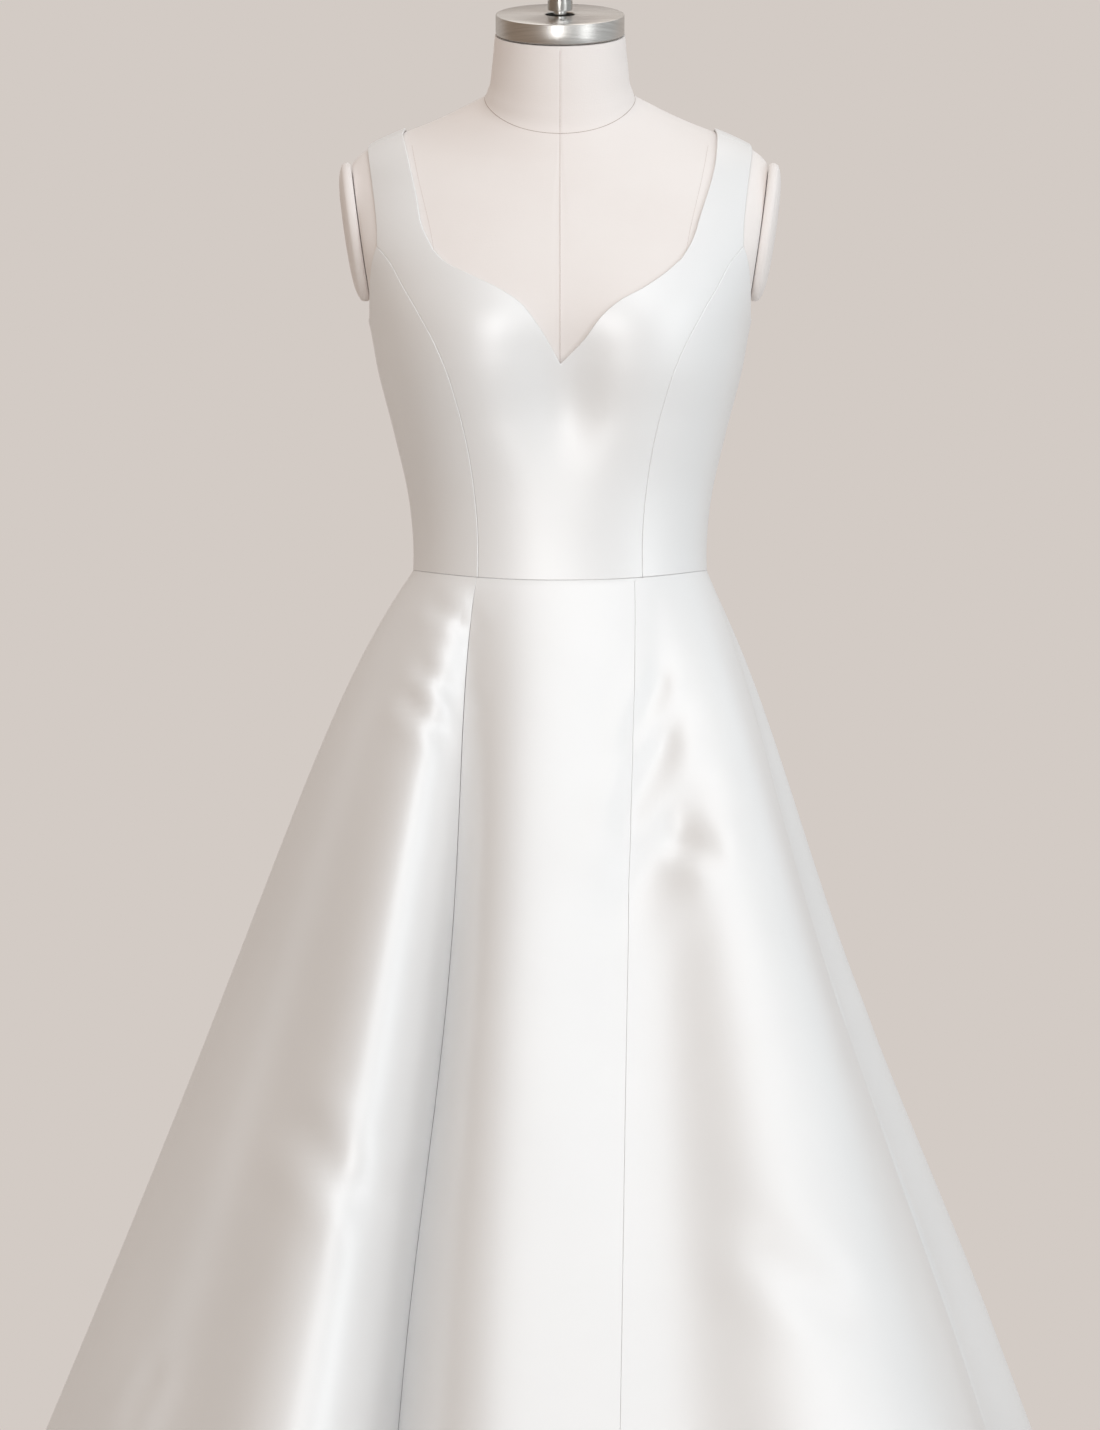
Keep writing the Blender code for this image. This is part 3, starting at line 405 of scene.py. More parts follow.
class Surface:
    """The form's skin as a fine mesh that points are cast or moved onto."""

    def __init__(self):
        count = SKIN_COLUMNS
        levels = np.arange(TORSO[0][0], TORSO[-1][0], SKIN_STEP)
        turns = np.arange(count) * 360.0 / count
        grid = torso_grid(levels, turns)
        self.points = [Vector(p) for p in grid.reshape(-1, 3)]
        self.normals = [Vector(n) for n in grid_normals(grid).reshape(-1, 3)]
        self.triangles = []
        for row in range(len(levels) - 1):
            for column in range(count):
                a = row * count + column
                b = row * count + (column + 1) % count
                self.triangles.append((a, b, b + count))
                self.triangles.append((a, b + count, a + count))
        self.tree = BVHTree.FromPolygons(self.points, self.triangles)

    def onto(self, point):
        """The nearest point of the skin and the skin's smooth normal there."""
        place, _, index, _ = self.tree.find_nearest(Vector(point))
        corners = self.triangles[index]
        a, b, c = (self.points[i] for i in corners)
        na, nb, nc = (self.normals[i] for i in corners)
        normal = geometry.barycentric_transform(place, a, b, c, na, nb, nc).normalized()
        return place, normal

    def seen(self, x, z, side):
        """The point that shows at x and z from the front (side -1) or from behind (side 1)."""
        place = self.tree.ray_cast(Vector((x, side, z)), Vector((0, -side, 0)))[0]
        return np.array(place)

    def above(self, x, y):
        """The point that shows from above at x and y."""
        place = self.tree.ray_cast(Vector((x, y, OVERHEAD)), Vector((0, 0, -1)))[0]
        return np.array(place)


def run(points, steps):
    """Spread steps + 1 points evenly along a smooth curve through the given points."""
    points = np.array(points, dtype=float)
    lengths = np.linalg.norm(np.diff(points, axis=0), axis=1)
    knots = np.concatenate([[0.0], np.cumsum(lengths)])
    rows = np.column_stack([knots, points])
    return smooth_columns(rows, np.linspace(0.0, knots[-1], steps + 1))


def waist_height(turns):
    """Height of the waist seam, which dips at the front."""
    turns = np.radians(np.asarray(turns, dtype=float))
    return WAIST_HEIGHT - WAIST_DIP * np.maximum(0.0, np.cos(turns)) ** 2


def waist_points(turns):
    """Points of the waist seam on the form's skin."""
    heights = waist_height(turns)
    return np.array([torso_grid([h], [t])[0, 0] for h, t in zip(heights, turns)])


def patch(left, right, bottom=None, top=None):
    """Fill a grid between two side edges, bent to meet the bottom and top edges where they are given."""
    left = np.array(left)
    right = np.array(right)
    rows = len(left)
    columns = len(bottom) if bottom is not None else len(top)
    across = np.linspace(0, 1, columns)[None, :, None]
    up = np.linspace(0, 1, rows)[:, None, None]
    grid = left[:, None] * (1 - across) + right[:, None] * across
    if bottom is not None:
        grid = grid + (np.array(bottom) - grid[0])[None] * (1 - up)
    if top is not None:
        grid = grid + (np.array(top) - grid[-1])[None] * up
    return grid


def settle(skin, grid, shrink):
    """Lay a grid on the form's skin, and draw its edges in by half a seam's gap where shrink names them."""
    flat = [skin.onto(p) for p in grid.reshape(-1, 3)]
    places = np.array([p for p, _ in flat]).reshape(grid.shape)
    normals = np.array([n for _, n in flat]).reshape(grid.shape)
    half = SEAM_GAP / 2
    if "left" in shrink:
        places[:, 0] += unit(places[:, 1] - places[:, 0]) * half
    if "right" in shrink:
        places[:, -1] += unit(places[:, -2] - places[:, -1]) * half
    if "bottom" in shrink:
        places[0, :, 2] = grid[0, :, 2] + half
        normals[0, :, 2] = 0.0
        normals[0] = unit(normals[0])
    if "top" in shrink:
        places[-1] += unit(places[-2] - places[-1]) * half
    return places, normals


def grid_faces(rows, columns, index):
    """Quads of a grid whose vertex numbers index(row, column) gives."""
    faces = []
    for row in range(rows - 1):
        for column in range(columns - 1):
            faces.append((index(row, column), index(row, column + 1),
                          index(row + 1, column + 1), index(row + 1, column)))
    return faces


def add_mesh(name, vertices, faces, look, sharp):
    """Add one mesh object, shaded smooth apart from its sharp edges."""
    mesh = bpy.data.meshes.new(name)
    mesh.from_pydata([tuple(float(c) for c in v) for v in vertices], [], faces)
    mesh.validate()
    mesh.shade_smooth()
    mesh.set_sharp_from_angle(angle=math.radians(sharp))
    mesh.materials.append(look)
    made = bpy.data.objects.new(name, mesh)
    bpy.context.scene.collection.objects.link(made)
    return made


def cloth(name, points, normals, faces, low, high, edge, look):
    """A closed wall from low to high along a surface's normals, with softly rounded edges."""
    points = np.array(points)
    normals = np.array(normals)
    a, b, c = (Vector(points[i]) for i in faces[0][:3])
    if (b - a).cross(c - b).dot(Vector(normals[faces[0][0]])) < 0:
        faces = [tuple(reversed(face)) for face in faces]
    count = len(points)
    vertices = np.concatenate([points + normals * high, points + normals * low])
    sides = {}
    for face in faces:
        for start, end in zip(face, face[1:] + face[:1]):
            sides[(start, end)] = True
    rim = [pair for pair in sides if (pair[1], pair[0]) not in sides]
    walls = [(end, start, start + count, end + count) for start, end in rim]
    inside = [tuple(i + count for i in reversed(face)) for face in faces]
    made = add_mesh(name, vertices, list(faces) + inside + walls, look, SHARP_CLOTH)
    rounding = made.modifiers.new("rounded_edge", "BEVEL")
    rounding.width = edge
    rounding.segments = EDGE_SEGMENTS
    rounding.limit_method = "ANGLE"
    rounding.angle_limit = EDGE_ANGLE
    rounding.use_clamp_overlap = False
    return made


def square_on(skin, rows, hand, side):
    """The skin's points for rows of (distance from the centre line, height), read square on."""
    return [skin.seen(hand * x, z, side) for x, z in rows]


def princess_seam(skin, hand, side):
    """The seam from the waist to the armhole, on one hand (-1 left) and side (-1 front)."""
    turn = FRONT_SEAM_TURN if side < 0 else BACK_SEAM_TURN
    table = FRONT_PRINCESS if side < 0 else BACK_PRINCESS
    start = waist_points([hand * turn])
    return run(list(start) + square_on(skin, table, hand, side), SEAM_ROWS)


def over_shoulder(skin, hand, side, low, top):
    """Points up a strap's edge from its last point square on, at low, to the shoulder seam, at top."""
    if side < 0:
        return [skin.above(hand * top, SHOULDER_RIDGE_Y)]
    ys = SHOULDER_BACK_YS + (SHOULDER_RIDGE_Y,)
    xs = np.linspace(low, top, len(ys) + 1)[1:]
    return [skin.above(hand * x, y) for x, y in zip(xs, ys)]


def arm_edge(skin, hand, side):
    """The strap's outer edge, from the top of the princess seam to the shoulder."""
    table = ARM_EDGE_FRONT if side < 0 else ARM_EDGE_BACK
    seam = FRONT_PRINCESS if side < 0 else BACK_PRINCESS
    points = square_on(skin, seam[-1:] + table, hand, side)
    return run(points + over_shoulder(skin, hand, side, table[-1][0], SHOULDER_OUTER), STRAP_ROWS[side])


def inner_edge(skin, hand, side):
    """The centre line up to the neck point, then the neckline and the strap's inner edge."""
    line, corner, strap = INNER_EDGES[(hand, side)]
    turn = 0.0 if side < 0 else 180.0
    point = NECK_POINT_HEIGHT if side < 0 else BACK_NECK_HEIGHT
    start = waist_points([turn])[0]
    heights = np.linspace(start[2], point, POINT_ROW + 1)
    centre = [start] + [skin.seen(0.0, z, side) for z in heights[1:]]
    neck = run([centre[-1]] + square_on(skin, line + (corner,), hand, side), SEAM_ROWS - POINT_ROW)
    over = over_shoulder(skin, hand, side, strap[-1][0], SHOULDER_INNER)
    top = run(square_on(skin, (corner,) + strap, hand, side) + over, STRAP_ROWS[side])
    return np.concatenate([np.array(centre), neck[1:], top[1:]])


def half_bodice(skin, hand, side, columns):
    """The grid between the centre edge and the princess seam on one hand, up to the shoulder."""
    turn = FRONT_SEAM_TURN if side < 0 else BACK_SEAM_TURN
    centre_turn = 0.0 if side < 0 else 180.0
    inner = inner_edge(skin, hand, side)
    outer = np.concatenate([princess_seam(skin, hand, side), arm_edge(skin, hand, side)[1:]])
    bottom = waist_points(np.linspace(hand * centre_turn, hand * turn, columns + 1))
    return patch(inner, outer, bottom=bottom)


def bodice_front(skin, look):
    """The centre front with both straps, whose halves share the centre line below the neck point."""
    vertices = []
    normals = []
    faces = []
    shared = {}
    cuts = []
    for hand in (-1, 1):
        grid = half_bodice(skin, hand, -1, FRONT_COLUMNS)
        places, outward = settle(skin, grid, ("right", "bottom", "top"))
        cuts.append(cut_size(places))
        rows, columns = grid.shape[:2]
        numbers = {}
        for row in range(rows):
            for column in range(columns):
                if hand > 0 and column == 0 and row <= POINT_ROW:
                    numbers[(row, column)] = shared[row]
                    continue
                numbers[(row, column)] = len(vertices)
                vertices.append(places[row, column])
                normals.append(outward[row, column])
        if hand < 0:
            shared = {row: numbers[(row, 0)] for row in range(rows)}
        quads = grid_faces(rows, columns, lambda r, c: numbers[(r, c)])
        faces += quads if hand > 0 else [tuple(reversed(quad)) for quad in quads]
    width, length, area = np.array(cuts).sum(axis=0)
    made = cloth("front_panel", vertices, normals, faces, CARRY_GAP, CARRY_GAP + CLOTH, BODICE_EDGE, look)
    return made, (float(width), float(length) / 2, float(area))


def cut_size(grid):
    """Width, length and area of the flat piece that a grid of points is cut from."""
    across = np.linalg.norm(np.diff(grid, axis=1), axis=2)
    down = np.linalg.norm(np.diff(grid, axis=0), axis=2)
    rising = grid[1:, 1:] - grid[:-1, :-1]
    falling = grid[1:, :-1] - grid[:-1, 1:]
    area = np.linalg.norm(np.cross(rising, falling), axis=2).sum() / 2
    return float(across.sum(axis=1).max()), float(down.sum(axis=0).max()), float(area)


def sheet_panel(skin, name, grid, shrink, look):
    """One bodice panel from a grid of points near the form, and its cut."""
    places, normals = settle(skin, grid, shrink)
    rows, columns = grid.shape[:2]
    faces = grid_faces(rows, columns, lambda r, c: r * columns + c)
    made = cloth(name, places.reshape(-1, 3), normals.reshape(-1, 3), faces,
                 CARRY_GAP, CARRY_GAP + CLOTH, BODICE_EDGE, look)
    return made, cut_size(places)


def bodice(skin, look):
    """Every bodice panel, as a dictionary from the solid's name to the new piece and its cut."""
    made = {"bodice_front": bodice_front(skin, look)}
    for hand, name in ((-1, "left"), (1, "right")):
        grid = half_bodice(skin, hand, 1, BACK_COLUMNS)
        made[f"bodice_back_{name}"] = sheet_panel(
            skin, f"back_panel_{name}", grid, ("left", "right", "bottom", "top"), look)
        heights = np.linspace(float(waist_height([SIDE_SEAM_TURN])[0]), ARMHOLE_BOTTOM, SEAM_ROWS + 1)
        side_seam = torso_grid(heights, [hand * SIDE_SEAM_TURN])[:, 0]
        for side, part, turn in ((-1, "side_front", FRONT_SEAM_TURN), (1, "side_back", BACK_SEAM_TURN)):
            seam = princess_seam(skin, hand, side)
            bottom = waist_points(np.linspace(hand * turn, hand * SIDE_SEAM_TURN, SIDE_COLUMNS + 1))
            middle = skin.seen(hand * ARMHOLE_MIDDLE, ARMHOLE_BOTTOM + ARMHOLE_RISE, side)
            armhole = run([seam[-1], middle, side_seam[-1]], SIDE_COLUMNS)
            grid = patch(seam, side_seam, bottom, armhole)
            made[f"bodice_{part}_{name}"] = sheet_panel(
                skin, f"{part}_panel_{name}", grid, ("left", "right", "bottom"), look)
    return made


def skirt_starts():
    """The points where the skirt's lines leave the waist seam."""
    starts = []
    for row in SKIRT:
        waist = waist_points([row[1]])[0]
        outward = unit(np.array([waist[0], waist[1], 0.0]))
        starts.append(waist + outward * (CARRY_GAP + CLOTH) - np.array([0, 0, SEAM_GAP / 2]))
    return np.array(starts)


def skirt_lines(starts, level):
    """Where the skirt's lines lie at a level from 0 at the waist to 1 at the hem."""
    hems = np.array([(row[2], row[3], HEM_HEIGHT) for row in SKIRT])
    hips = np.array([row[4] for row in SKIRT])[:, None]
    knees = np.array([row[5] for row in SKIRT])[:, None]
    places = starts * (1 - level) + hems * level
    radial = unit(places * np.array([1.0, 1.0, 0.0]))
    hip_share = level / HIP_LEVEL * math.exp(1 - level / HIP_LEVEL)
    knee_share = math.sin(math.pi * min(level, KNEE_LEVEL) / KNEE_LEVEL) ** 2
    return places + radial * (hips * hip_share + knees * knee_share)


def ring_slopes(ring, sharp):
    """Slopes of the closed curve through a ring of points, per unit of length, to each side of them."""
    forward = np.roll(ring, -1, axis=0) - ring
    lengths = np.linalg.norm(forward, axis=1)[:, None]
    chords = forward / lengths
    before = np.roll(chords, 1, axis=0)
    length_before = np.roll(lengths, 1, axis=0)
    slopes = (before * lengths + chords * length_before) / (lengths + length_before)
    leaving = slopes.copy()
    arriving = slopes.copy()
    for k in range(len(ring)):
        if sharp[k]:
            following = (k + 1) % len(ring)
            leaving[k] = 1.5 * chords[k] - 0.5 * slopes[following]
            arriving[k] = 1.5 * chords[k - 1] - 0.5 * slopes[k - 1]
    return lengths, leaving, arriving


def skirt_ring(ring, steps, level):
    """All points round the skirt at one level, steps of them for each stretch between two lines."""
    sharp = [row[-1] and level > 0 for row in SKIRT]
    lengths, leaving, arriving = ring_slopes(ring, sharp)
    t = np.arange(steps)[:, None] / steps
    points = []
    for k in range(len(SKIRT)):
        following = (k + 1) % len(SKIRT)
        start_slope = leaving[k] * lengths[k]
        end_slope = arriving[following] * lengths[k]
        points.append((2 * t**3 - 3 * t**2 + 1) * ring[k] + (t**3 - 2 * t**2 + t) * start_slope
                      + (3 * t**2 - 2 * t**3) * ring[following] + (t**3 - t**2) * end_slope)
    return np.concatenate(points)


def smooth_ring(grid, steps):
    """Soften the joints between stretches along each level, apart from the sharp seams."""
    fixed = [k * steps for k, row in enumerate(SKIRT) if row[-1]]
    rounds = int((SMOOTHING * steps / 8) ** 2 * 2)
    for _ in range(rounds):
        softer = 0.25 * np.roll(grid, 1, axis=1) + 0.5 * grid + 0.25 * np.roll(grid, -1, axis=1)
        softer[:, fixed] = grid[:, fixed]
        softer[0] = grid[0]
        grid = softer
    return grid


def crease_offset(grid):
    """How far the creases move each point of the cloth outward: soft troughs with low rims."""
    offset = np.zeros(grid.shape[:2])
    for x0, z0, x1, z1, width, depth, side in CREASES:
        start = np.array([x0, z0])
        along = np.array([x1, z1]) - start
        length = np.linalg.norm(along)
        along = along / length
        away = grid[..., [0, 2]] - start
        t = away @ along
        across = away @ np.array([-along[1], along[0]])
        past = np.maximum(0, np.maximum(-t, t - length))
        fade = (past / (width * CREASE_END)) ** 2
        shape = np.exp(-(across / width) ** 2 - fade)
        beside = (np.abs(across) - RIM_DISTANCE * width) / width
        rim = RIM_SHARE * np.exp(-beside ** 2 - fade)
        facing = (grid[..., 1] * side > 0).astype(float)
        offset += depth * (shape - rim) * facing
    return offset


def outward_of(part, levels):
    """Outward directions of a stretch of the skirt."""
    down = np.gradient(part, levels, axis=0)
    across = np.gradient(part, axis=1)
    return unit(np.cross(down, across))


def creased(part, levels):
    """A stretch of the skirt with its creases, and its outward directions."""
    columns = np.arange(part.shape[1])
    from_edge = np.minimum(columns, columns[::-1])
    edge_fade = np.minimum(1, from_edge * EDGE_FADE / SKIRT_STEPS)
    waist_fade = np.minimum(1, levels / WAIST_FADE)[:, None, None]
    part = part + outward_of(part, levels) * (crease_offset(part) * edge_fade)[..., None] * waist_fade
    normals = outward_of(part, levels)
    normals[0, :, 2] = 0.0
    normals[0] = unit(normals[0])
    return part, normals


def skirt_stretches(levels):
    """The cloth between sharp seams, as (points, outward directions, first column) for each line."""
    starts = skirt_starts()
    rings = [skirt_ring(skirt_lines(starts, level), SKIRT_STEPS, level) for level in levels]
    grid = smooth_ring(np.array(rings), SKIRT_STEPS)
    sharp = [k for k, row in enumerate(SKIRT) if row[-1]]
    total = len(SKIRT)
    stretches = {}
    for first, last in zip(sharp, sharp[1:] + [sharp[0] + total]):
        columns = np.arange(first * SKIRT_STEPS, last * SKIRT_STEPS + 1) % (total * SKIRT_STEPS)
        part, normals = creased(grid[:, columns], levels)
        for k in range(first, last):
            stretches[k % total] = (part, normals, (k - first) * SKIRT_STEPS)
    return stretches


def skirt(look):
    """Seven gores, as a dictionary from the solid's name to the piece and its cut."""
    names = [row[0] for row in SKIRT]
    levels = np.linspace(0, 1, SKIRT_ROWS) ** ROW_CROWDING
    stretches = skirt_stretches(levels)
    made = {}
    for name, first, last in GORES:
        start = names.index(first)
        count = (names.index(last) - start) % len(SKIRT)
        part, normals, offset = stretches[start]
        columns = slice(offset, offset + count * SKIRT_STEPS + 1)
        points = part[:, columns].copy()
        outward = normals[:, columns]
        points[:, 0] += unit(points[:, 1] - points[:, 0]) * SEAM_GAP / 2
        points[:, -1] += unit(points[:, -2] - points[:, -1]) * SEAM_GAP / 2
        width = points.shape[1]
        faces = grid_faces(len(levels), width, lambda r, c: r * width + c)
        gore = cloth(name.replace("skirt", "gore"), points.reshape(-1, 3), outward.reshape(-1, 3),
                     faces, -CLOTH, 0.0, SKIRT_EDGE, look)
        made[name] = (gore, cut_size(points))
    return made


class Nodes:
    """A short way to write a material's node tree."""

    def __init__(self, name):
        self.look = bpy.data.materials.new(name)
        self.look.use_nodes = True
        self.tree = self.look.node_tree
        self.shader = self.tree.nodes["Principled BSDF"]

    def add(self, kind, **settings):
        """Add a node of one kind with its settings."""
        node = self.tree.nodes.new(kind)
        for key, value in settings.items():
            setattr(node, key, value)
        return node

    def link(self, source, output, target, into):
        """Link a node's output to another node's input."""
        self.tree.links.new(source.outputs[output], target.inputs[into])

    def set(self, **values):
        """Set the shader's own inputs, named with _ for each space."""
        for key, value in values.items():
            self.shader.inputs[key.replace("_", " ")].default_value = value

    def place(self, scale):
        """Texture coordinates in metres, stretched by a scale along each axis."""
        at = self.add("ShaderNodeTexCoord")
        mapping = self.add("ShaderNodeMapping")
        mapping.inputs["Scale"].default_value = scale
        self.link(at, "Object", mapping, "Vector")
        return mapping

    def noise(self, scale, size, detail=3.0):
        """Noise in metres, stretched by a scale along each axis."""
        mapping = self.place(scale)
        made = self.add("ShaderNodeTexNoise")
        made.inputs["Scale"].default_value = size
        made.inputs["Detail"].default_value = detail
        self.link(mapping, "Vector", made, "Vector")
        return made

    def ramp(self, source, output, low, high, start=0.3, end=0.7):
        """A colour that goes from low to high as a node's output goes from start to end."""
        made = self.add("ShaderNodeValToRGB")
        made.color_ramp.elements[0].position = start
        made.color_ramp.elements[1].position = end
        made.color_ramp.elements[0].color = low
        made.color_ramp.elements[1].color = high
        self.link(source, output, made, "Fac")
        return made

    def bumps(self, layers):
        """Stack bump layers, each (texture, output, strength, distance)."""
        last = None
        for texture, output, strength, distance in layers:
            bump = self.add("ShaderNodeBump")
            bump.inputs["Strength"].default_value = strength
            bump.inputs["Distance"].default_value = distance
            self.link(texture, output, bump, "Height")
            if last:
                self.link(last, "Normal", bump, "Normal")
            last = bump
        self.link(last, "Normal", self.shader, "Normal")


def satin_look():
    """Heavy white satin: soft uneven gloss, and very fine ribs along the weft."""
    n = Nodes("satin")
    n.set(Metallic=0.16, Specular_IOR_Level=0.55, Sheen_Weight=0.05, Sheen_Roughness=0.35)
    tone = n.noise((1, 1, 1), 6.0)
    shade = n.ramp(tone, "Fac", (0.85, 0.85, 0.85, 1), (0.88, 0.88, 0.88, 1))
    n.link(shade, "Color", n.shader, "Base Color")
    gloss = n.noise((1, 1, 0.25), 16.0)
    rough = n.add("ShaderNodeMapRange")
    rough.inputs["To Min"].default_value = 0.39
    rough.inputs["To Max"].default_value = 0.47
    n.link(gloss, "Fac", rough, "Value")
    n.link(rough, "Result", n.shader, "Roughness")
    ribs = n.noise((1.0, 1.0, 9.0), 240.0, 2.0)
    slubs = n.noise((1.0, 1.0, 0.12), 300.0, 2.0)
    n.bumps([(ribs, "Fac", 0.05, 0.0006), (slubs, "Fac", 0.04, 0.0006)])
    return n.look


def form_look():
    """The form's plain woven cover: matt, pale pinkish cream."""
    n = Nodes("form_cloth")
    n.set(Roughness=0.9, Specular_IOR_Level=0.25, Sheen_Weight=0.2)
    tone = n.noise((1, 1, 1), 9.0)
    shade = n.ramp(tone, "Fac", (0.85, 0.798, 0.772, 1), (0.88, 0.836, 0.812, 1))
    n.link(shade, "Color", n.shader, "Base Color")
    warp = n.noise((4.0, 4.0, 0.4), 500.0, 2.0)
    weft = n.noise((0.4, 0.4, 4.0), 500.0, 2.0)
    n.bumps([(warp, "Fac", 0.18, 0.0004), (weft, "Fac", 0.18, 0.0004)])
    return n.look


def steel_look(name):
    """Steel brushed in fine turned lines about the Z axis, which draw its highlights out across them."""
    low, high, roughness = STEELS[name]
    n = Nodes(name)
    n.set(Metallic=1.0, Roughness=roughness, Anisotropic=0.8)
    around = n.add("ShaderNodeTangent", direction_type="RADIAL", axis="Z")
    n.link(around, "Tangent", n.shader, "Tangent")
    tone = n.noise((30, 30, 900), 1.0, 4.0)
    shade = n.ramp(tone, "Fac", low, high)
    n.link(shade, "Color", n.shader, "Base Color")
    lines = n.noise((12, 12, 1500), 1.0, 3.0)
    n.bumps([(lines, "Fac", 0.12, 0.0002)])
    return n.look


def thread_look(name):
    """Twisted thread: matt, with fine turns."""
    colour = THREADS[name]
    n = Nodes(name)
    n.set(Roughness=0.8)
    low = tuple(c * THREAD_SHADE for c in colour) + (1,)
    twist = n.noise((1, 1, 1), 900.0, 2.0)
    shade = n.ramp(twist, "Fac", low, colour + (1,))
    n.link(shade, "Color", n.shader, "Base Color")
    n.bumps([(twist, "Fac", 0.2, 0.0003)])
    return n.look


def loft(name, rings, look, sharp=SHARP_LOFT):
    """A closed solid through rings of points, capped flat at both ends."""
    rings = np.array(rings)
    rows, columns = rings.shape[:2]
    faces = []
    for row in range(rows - 1):
        for column in range(columns):
            after = (column + 1) % columns
            faces.append((row * columns + column, row * columns + after,
                          (row + 1) * columns + after, (row + 1) * columns + column))
    faces.append(tuple(reversed(range(columns))))
    faces.append(tuple(range((rows - 1) * columns, rows * columns)))
    return add_mesh(name, rings.reshape(-1, 3), faces, look, sharp)


def groove(distance, width, depth):
    """Depth of a soft groove at a distance from its line."""
    return depth * np.exp(-(distance / width) ** 2)


def form_skin(look):
    """The form's torso with its seams' grooves: the centre front and back, and the princess lines."""
    turns = np.arange(FORM_COLUMNS) * 360.0 / FORM_COLUMNS
    levels = np.arange(TORSO[0][0] + FOOT_RISE, TORSO[-1][0], FORM_STEP)
    grid = torso_grid(levels, turns)
    normals = grid_normals(grid)
    depth = groove(grid[..., 0], GROOVE_WIDTH, CENTRE_GROOVE)
    lines = smooth_columns(GROOVE_LINE, levels)
    upper = ((levels > GROOVE_BOTTOM) & (levels < GROOVE_TOP))[:, None]
    for hand in (-1, 1):
        princess = groove(grid[..., 0] - hand * lines, GROOVE_WIDTH, PRINCESS_GROOVE)
        depth += np.where(upper, princess, 0.0)
    grid = grid - normals * depth[..., None]
    foot = torso_grid([TORSO[0][0]], turns)[0]
    foot[:, :2] *= FOOT_SHARE
    return loft("torso_cover", np.concatenate([foot[None], grid]), look, SHARP_TORSO)


def smooth_profile(profile, steps):
    """A profile's rows joined by a smooth curve, with steps points for each stretch."""
    return run(profile, steps * (len(profile) - 1))


def rings_of(profile, sides, half_x=1.0, half_y=1.0):
    """Rings of points about the Z axis, one for each (radius, height), stretched along X and Y."""
    angles = np.arange(sides) * 2 * math.pi / sides
    return [np.stack([half_x * r * np.cos(angles), half_y * r * np.sin(angles), np.full(sides, z)], axis=-1)
            for r, z in profile]


def thread_line(name, skin, found, lift, radius, look):
    """A thin cord along points near the form's skin, lifted off it along its outward directions."""
    settled = [skin.onto(p) for p in found]
    outward = np.array([n for _, n in settled])
    points = np.array([p for p, _ in settled]) + outward * lift
    along = unit(np.gradient(points, axis=0))
    across = unit(np.cross(along, outward))
    angles = np.arange(THREAD_SIDES) * 2 * math.pi / THREAD_SIDES
    rings = [p + radius * (np.outer(np.cos(angles), o) + np.outer(np.sin(angles), a))
             for p, o, a in zip(points, outward, across)]
    return loft(name, rings, look, SHARP_ROUNDED)


def neck_base_seam(skin, look):
    """The seam round the base of the neck, as a thin cord whose dark colour is painted shade along the
    seam.
    """
    turns = np.linspace(-180.0, 180.0, NECK_SEAM_POINTS)
    levels = NECK_BASE + NECK_BASE_RISE * np.sin(np.radians(turns)) ** 2
    points = [torso_grid([level], [turn])[0, 0] for level, turn in zip(levels, turns)]
    return thread_line("neck_base_seam", skin, points, -THREAD / 2, THREAD, look)


def chest_lines(skin, look):
    """The fine lines sewn down the chest: the centre line and one from each shoulder."""
    heights = np.linspace(FORM_LINE[0][0], FORM_LINE[-1][0], LINE_POINTS)
    across = smooth_columns(FORM_LINE, heights)[:, 0]
    bottom = NECK_POINT_HEIGHT - CENTRE_LINE_END
    top = TORSO[-1][0] - CENTRE_LINE_END
    centre_heights = np.linspace(bottom, top, CENTRE_LINE_POINTS)
    lines = {"chest_line_centre": [skin.seen(0.0, z, -1) for z in centre_heights]}
    for hand, side in ((-1, "left"), (1, "right")):
        lines[f"chest_line_{side}"] = [skin.seen(hand * x, z, -1) for x, z in zip(across, heights)]
    return [thread_line(name, skin, points, -THREAD / 2, THREAD, look) for name, points in lines.items()]


def zip_coil(skin, look):
    """The closed coil of the zip down the centre back, between the two backs."""
    bottom = WAIST_HEIGHT + ZIP_ABOVE_WAIST
    heights = np.linspace(bottom, BACK_NECK_HEIGHT - ZIP_BELOW_NECK, LINE_POINTS)
    points = [skin.seen(0.0, z, 1) for z in heights]
    return thread_line("zip_coil", skin, points, CARRY_GAP + CLOTH, ZIP_COIL, look)


def arm_plate(hand, look):
    """An oval cloth-covered dome with a soft edge, and a groove where it meets the torso."""
    profile = smooth_profile(PLATE_PROFILE, PLATE_STEPS)
    rings = rings_of(profile, PLATE_SIDES, PLATE_HALF_HEIGHT, PLATE_HALF_DEPTH)
    side = "left" if hand < 0 else "right"
    made = loft(f"plate_cover_{side}", rings, look, SHARP_ROUNDED)
    x, y, z = PLATE_CENTRE
    turned = Matrix.Rotation(hand * (math.pi / 2 + ARMHOLE_LEAN), 4, "Y")
    made.data.transform(Matrix.Translation((hand * x, y, z)) @ turned)
    return made


def neck_seat():
    """Where the neck's top carries the cap: its place and its lean."""
    section = TORSO[-1]
    return Matrix.Translation((0, section[4], section[0])) @ Matrix.Rotation(NECK_LEAN, 4, "X")


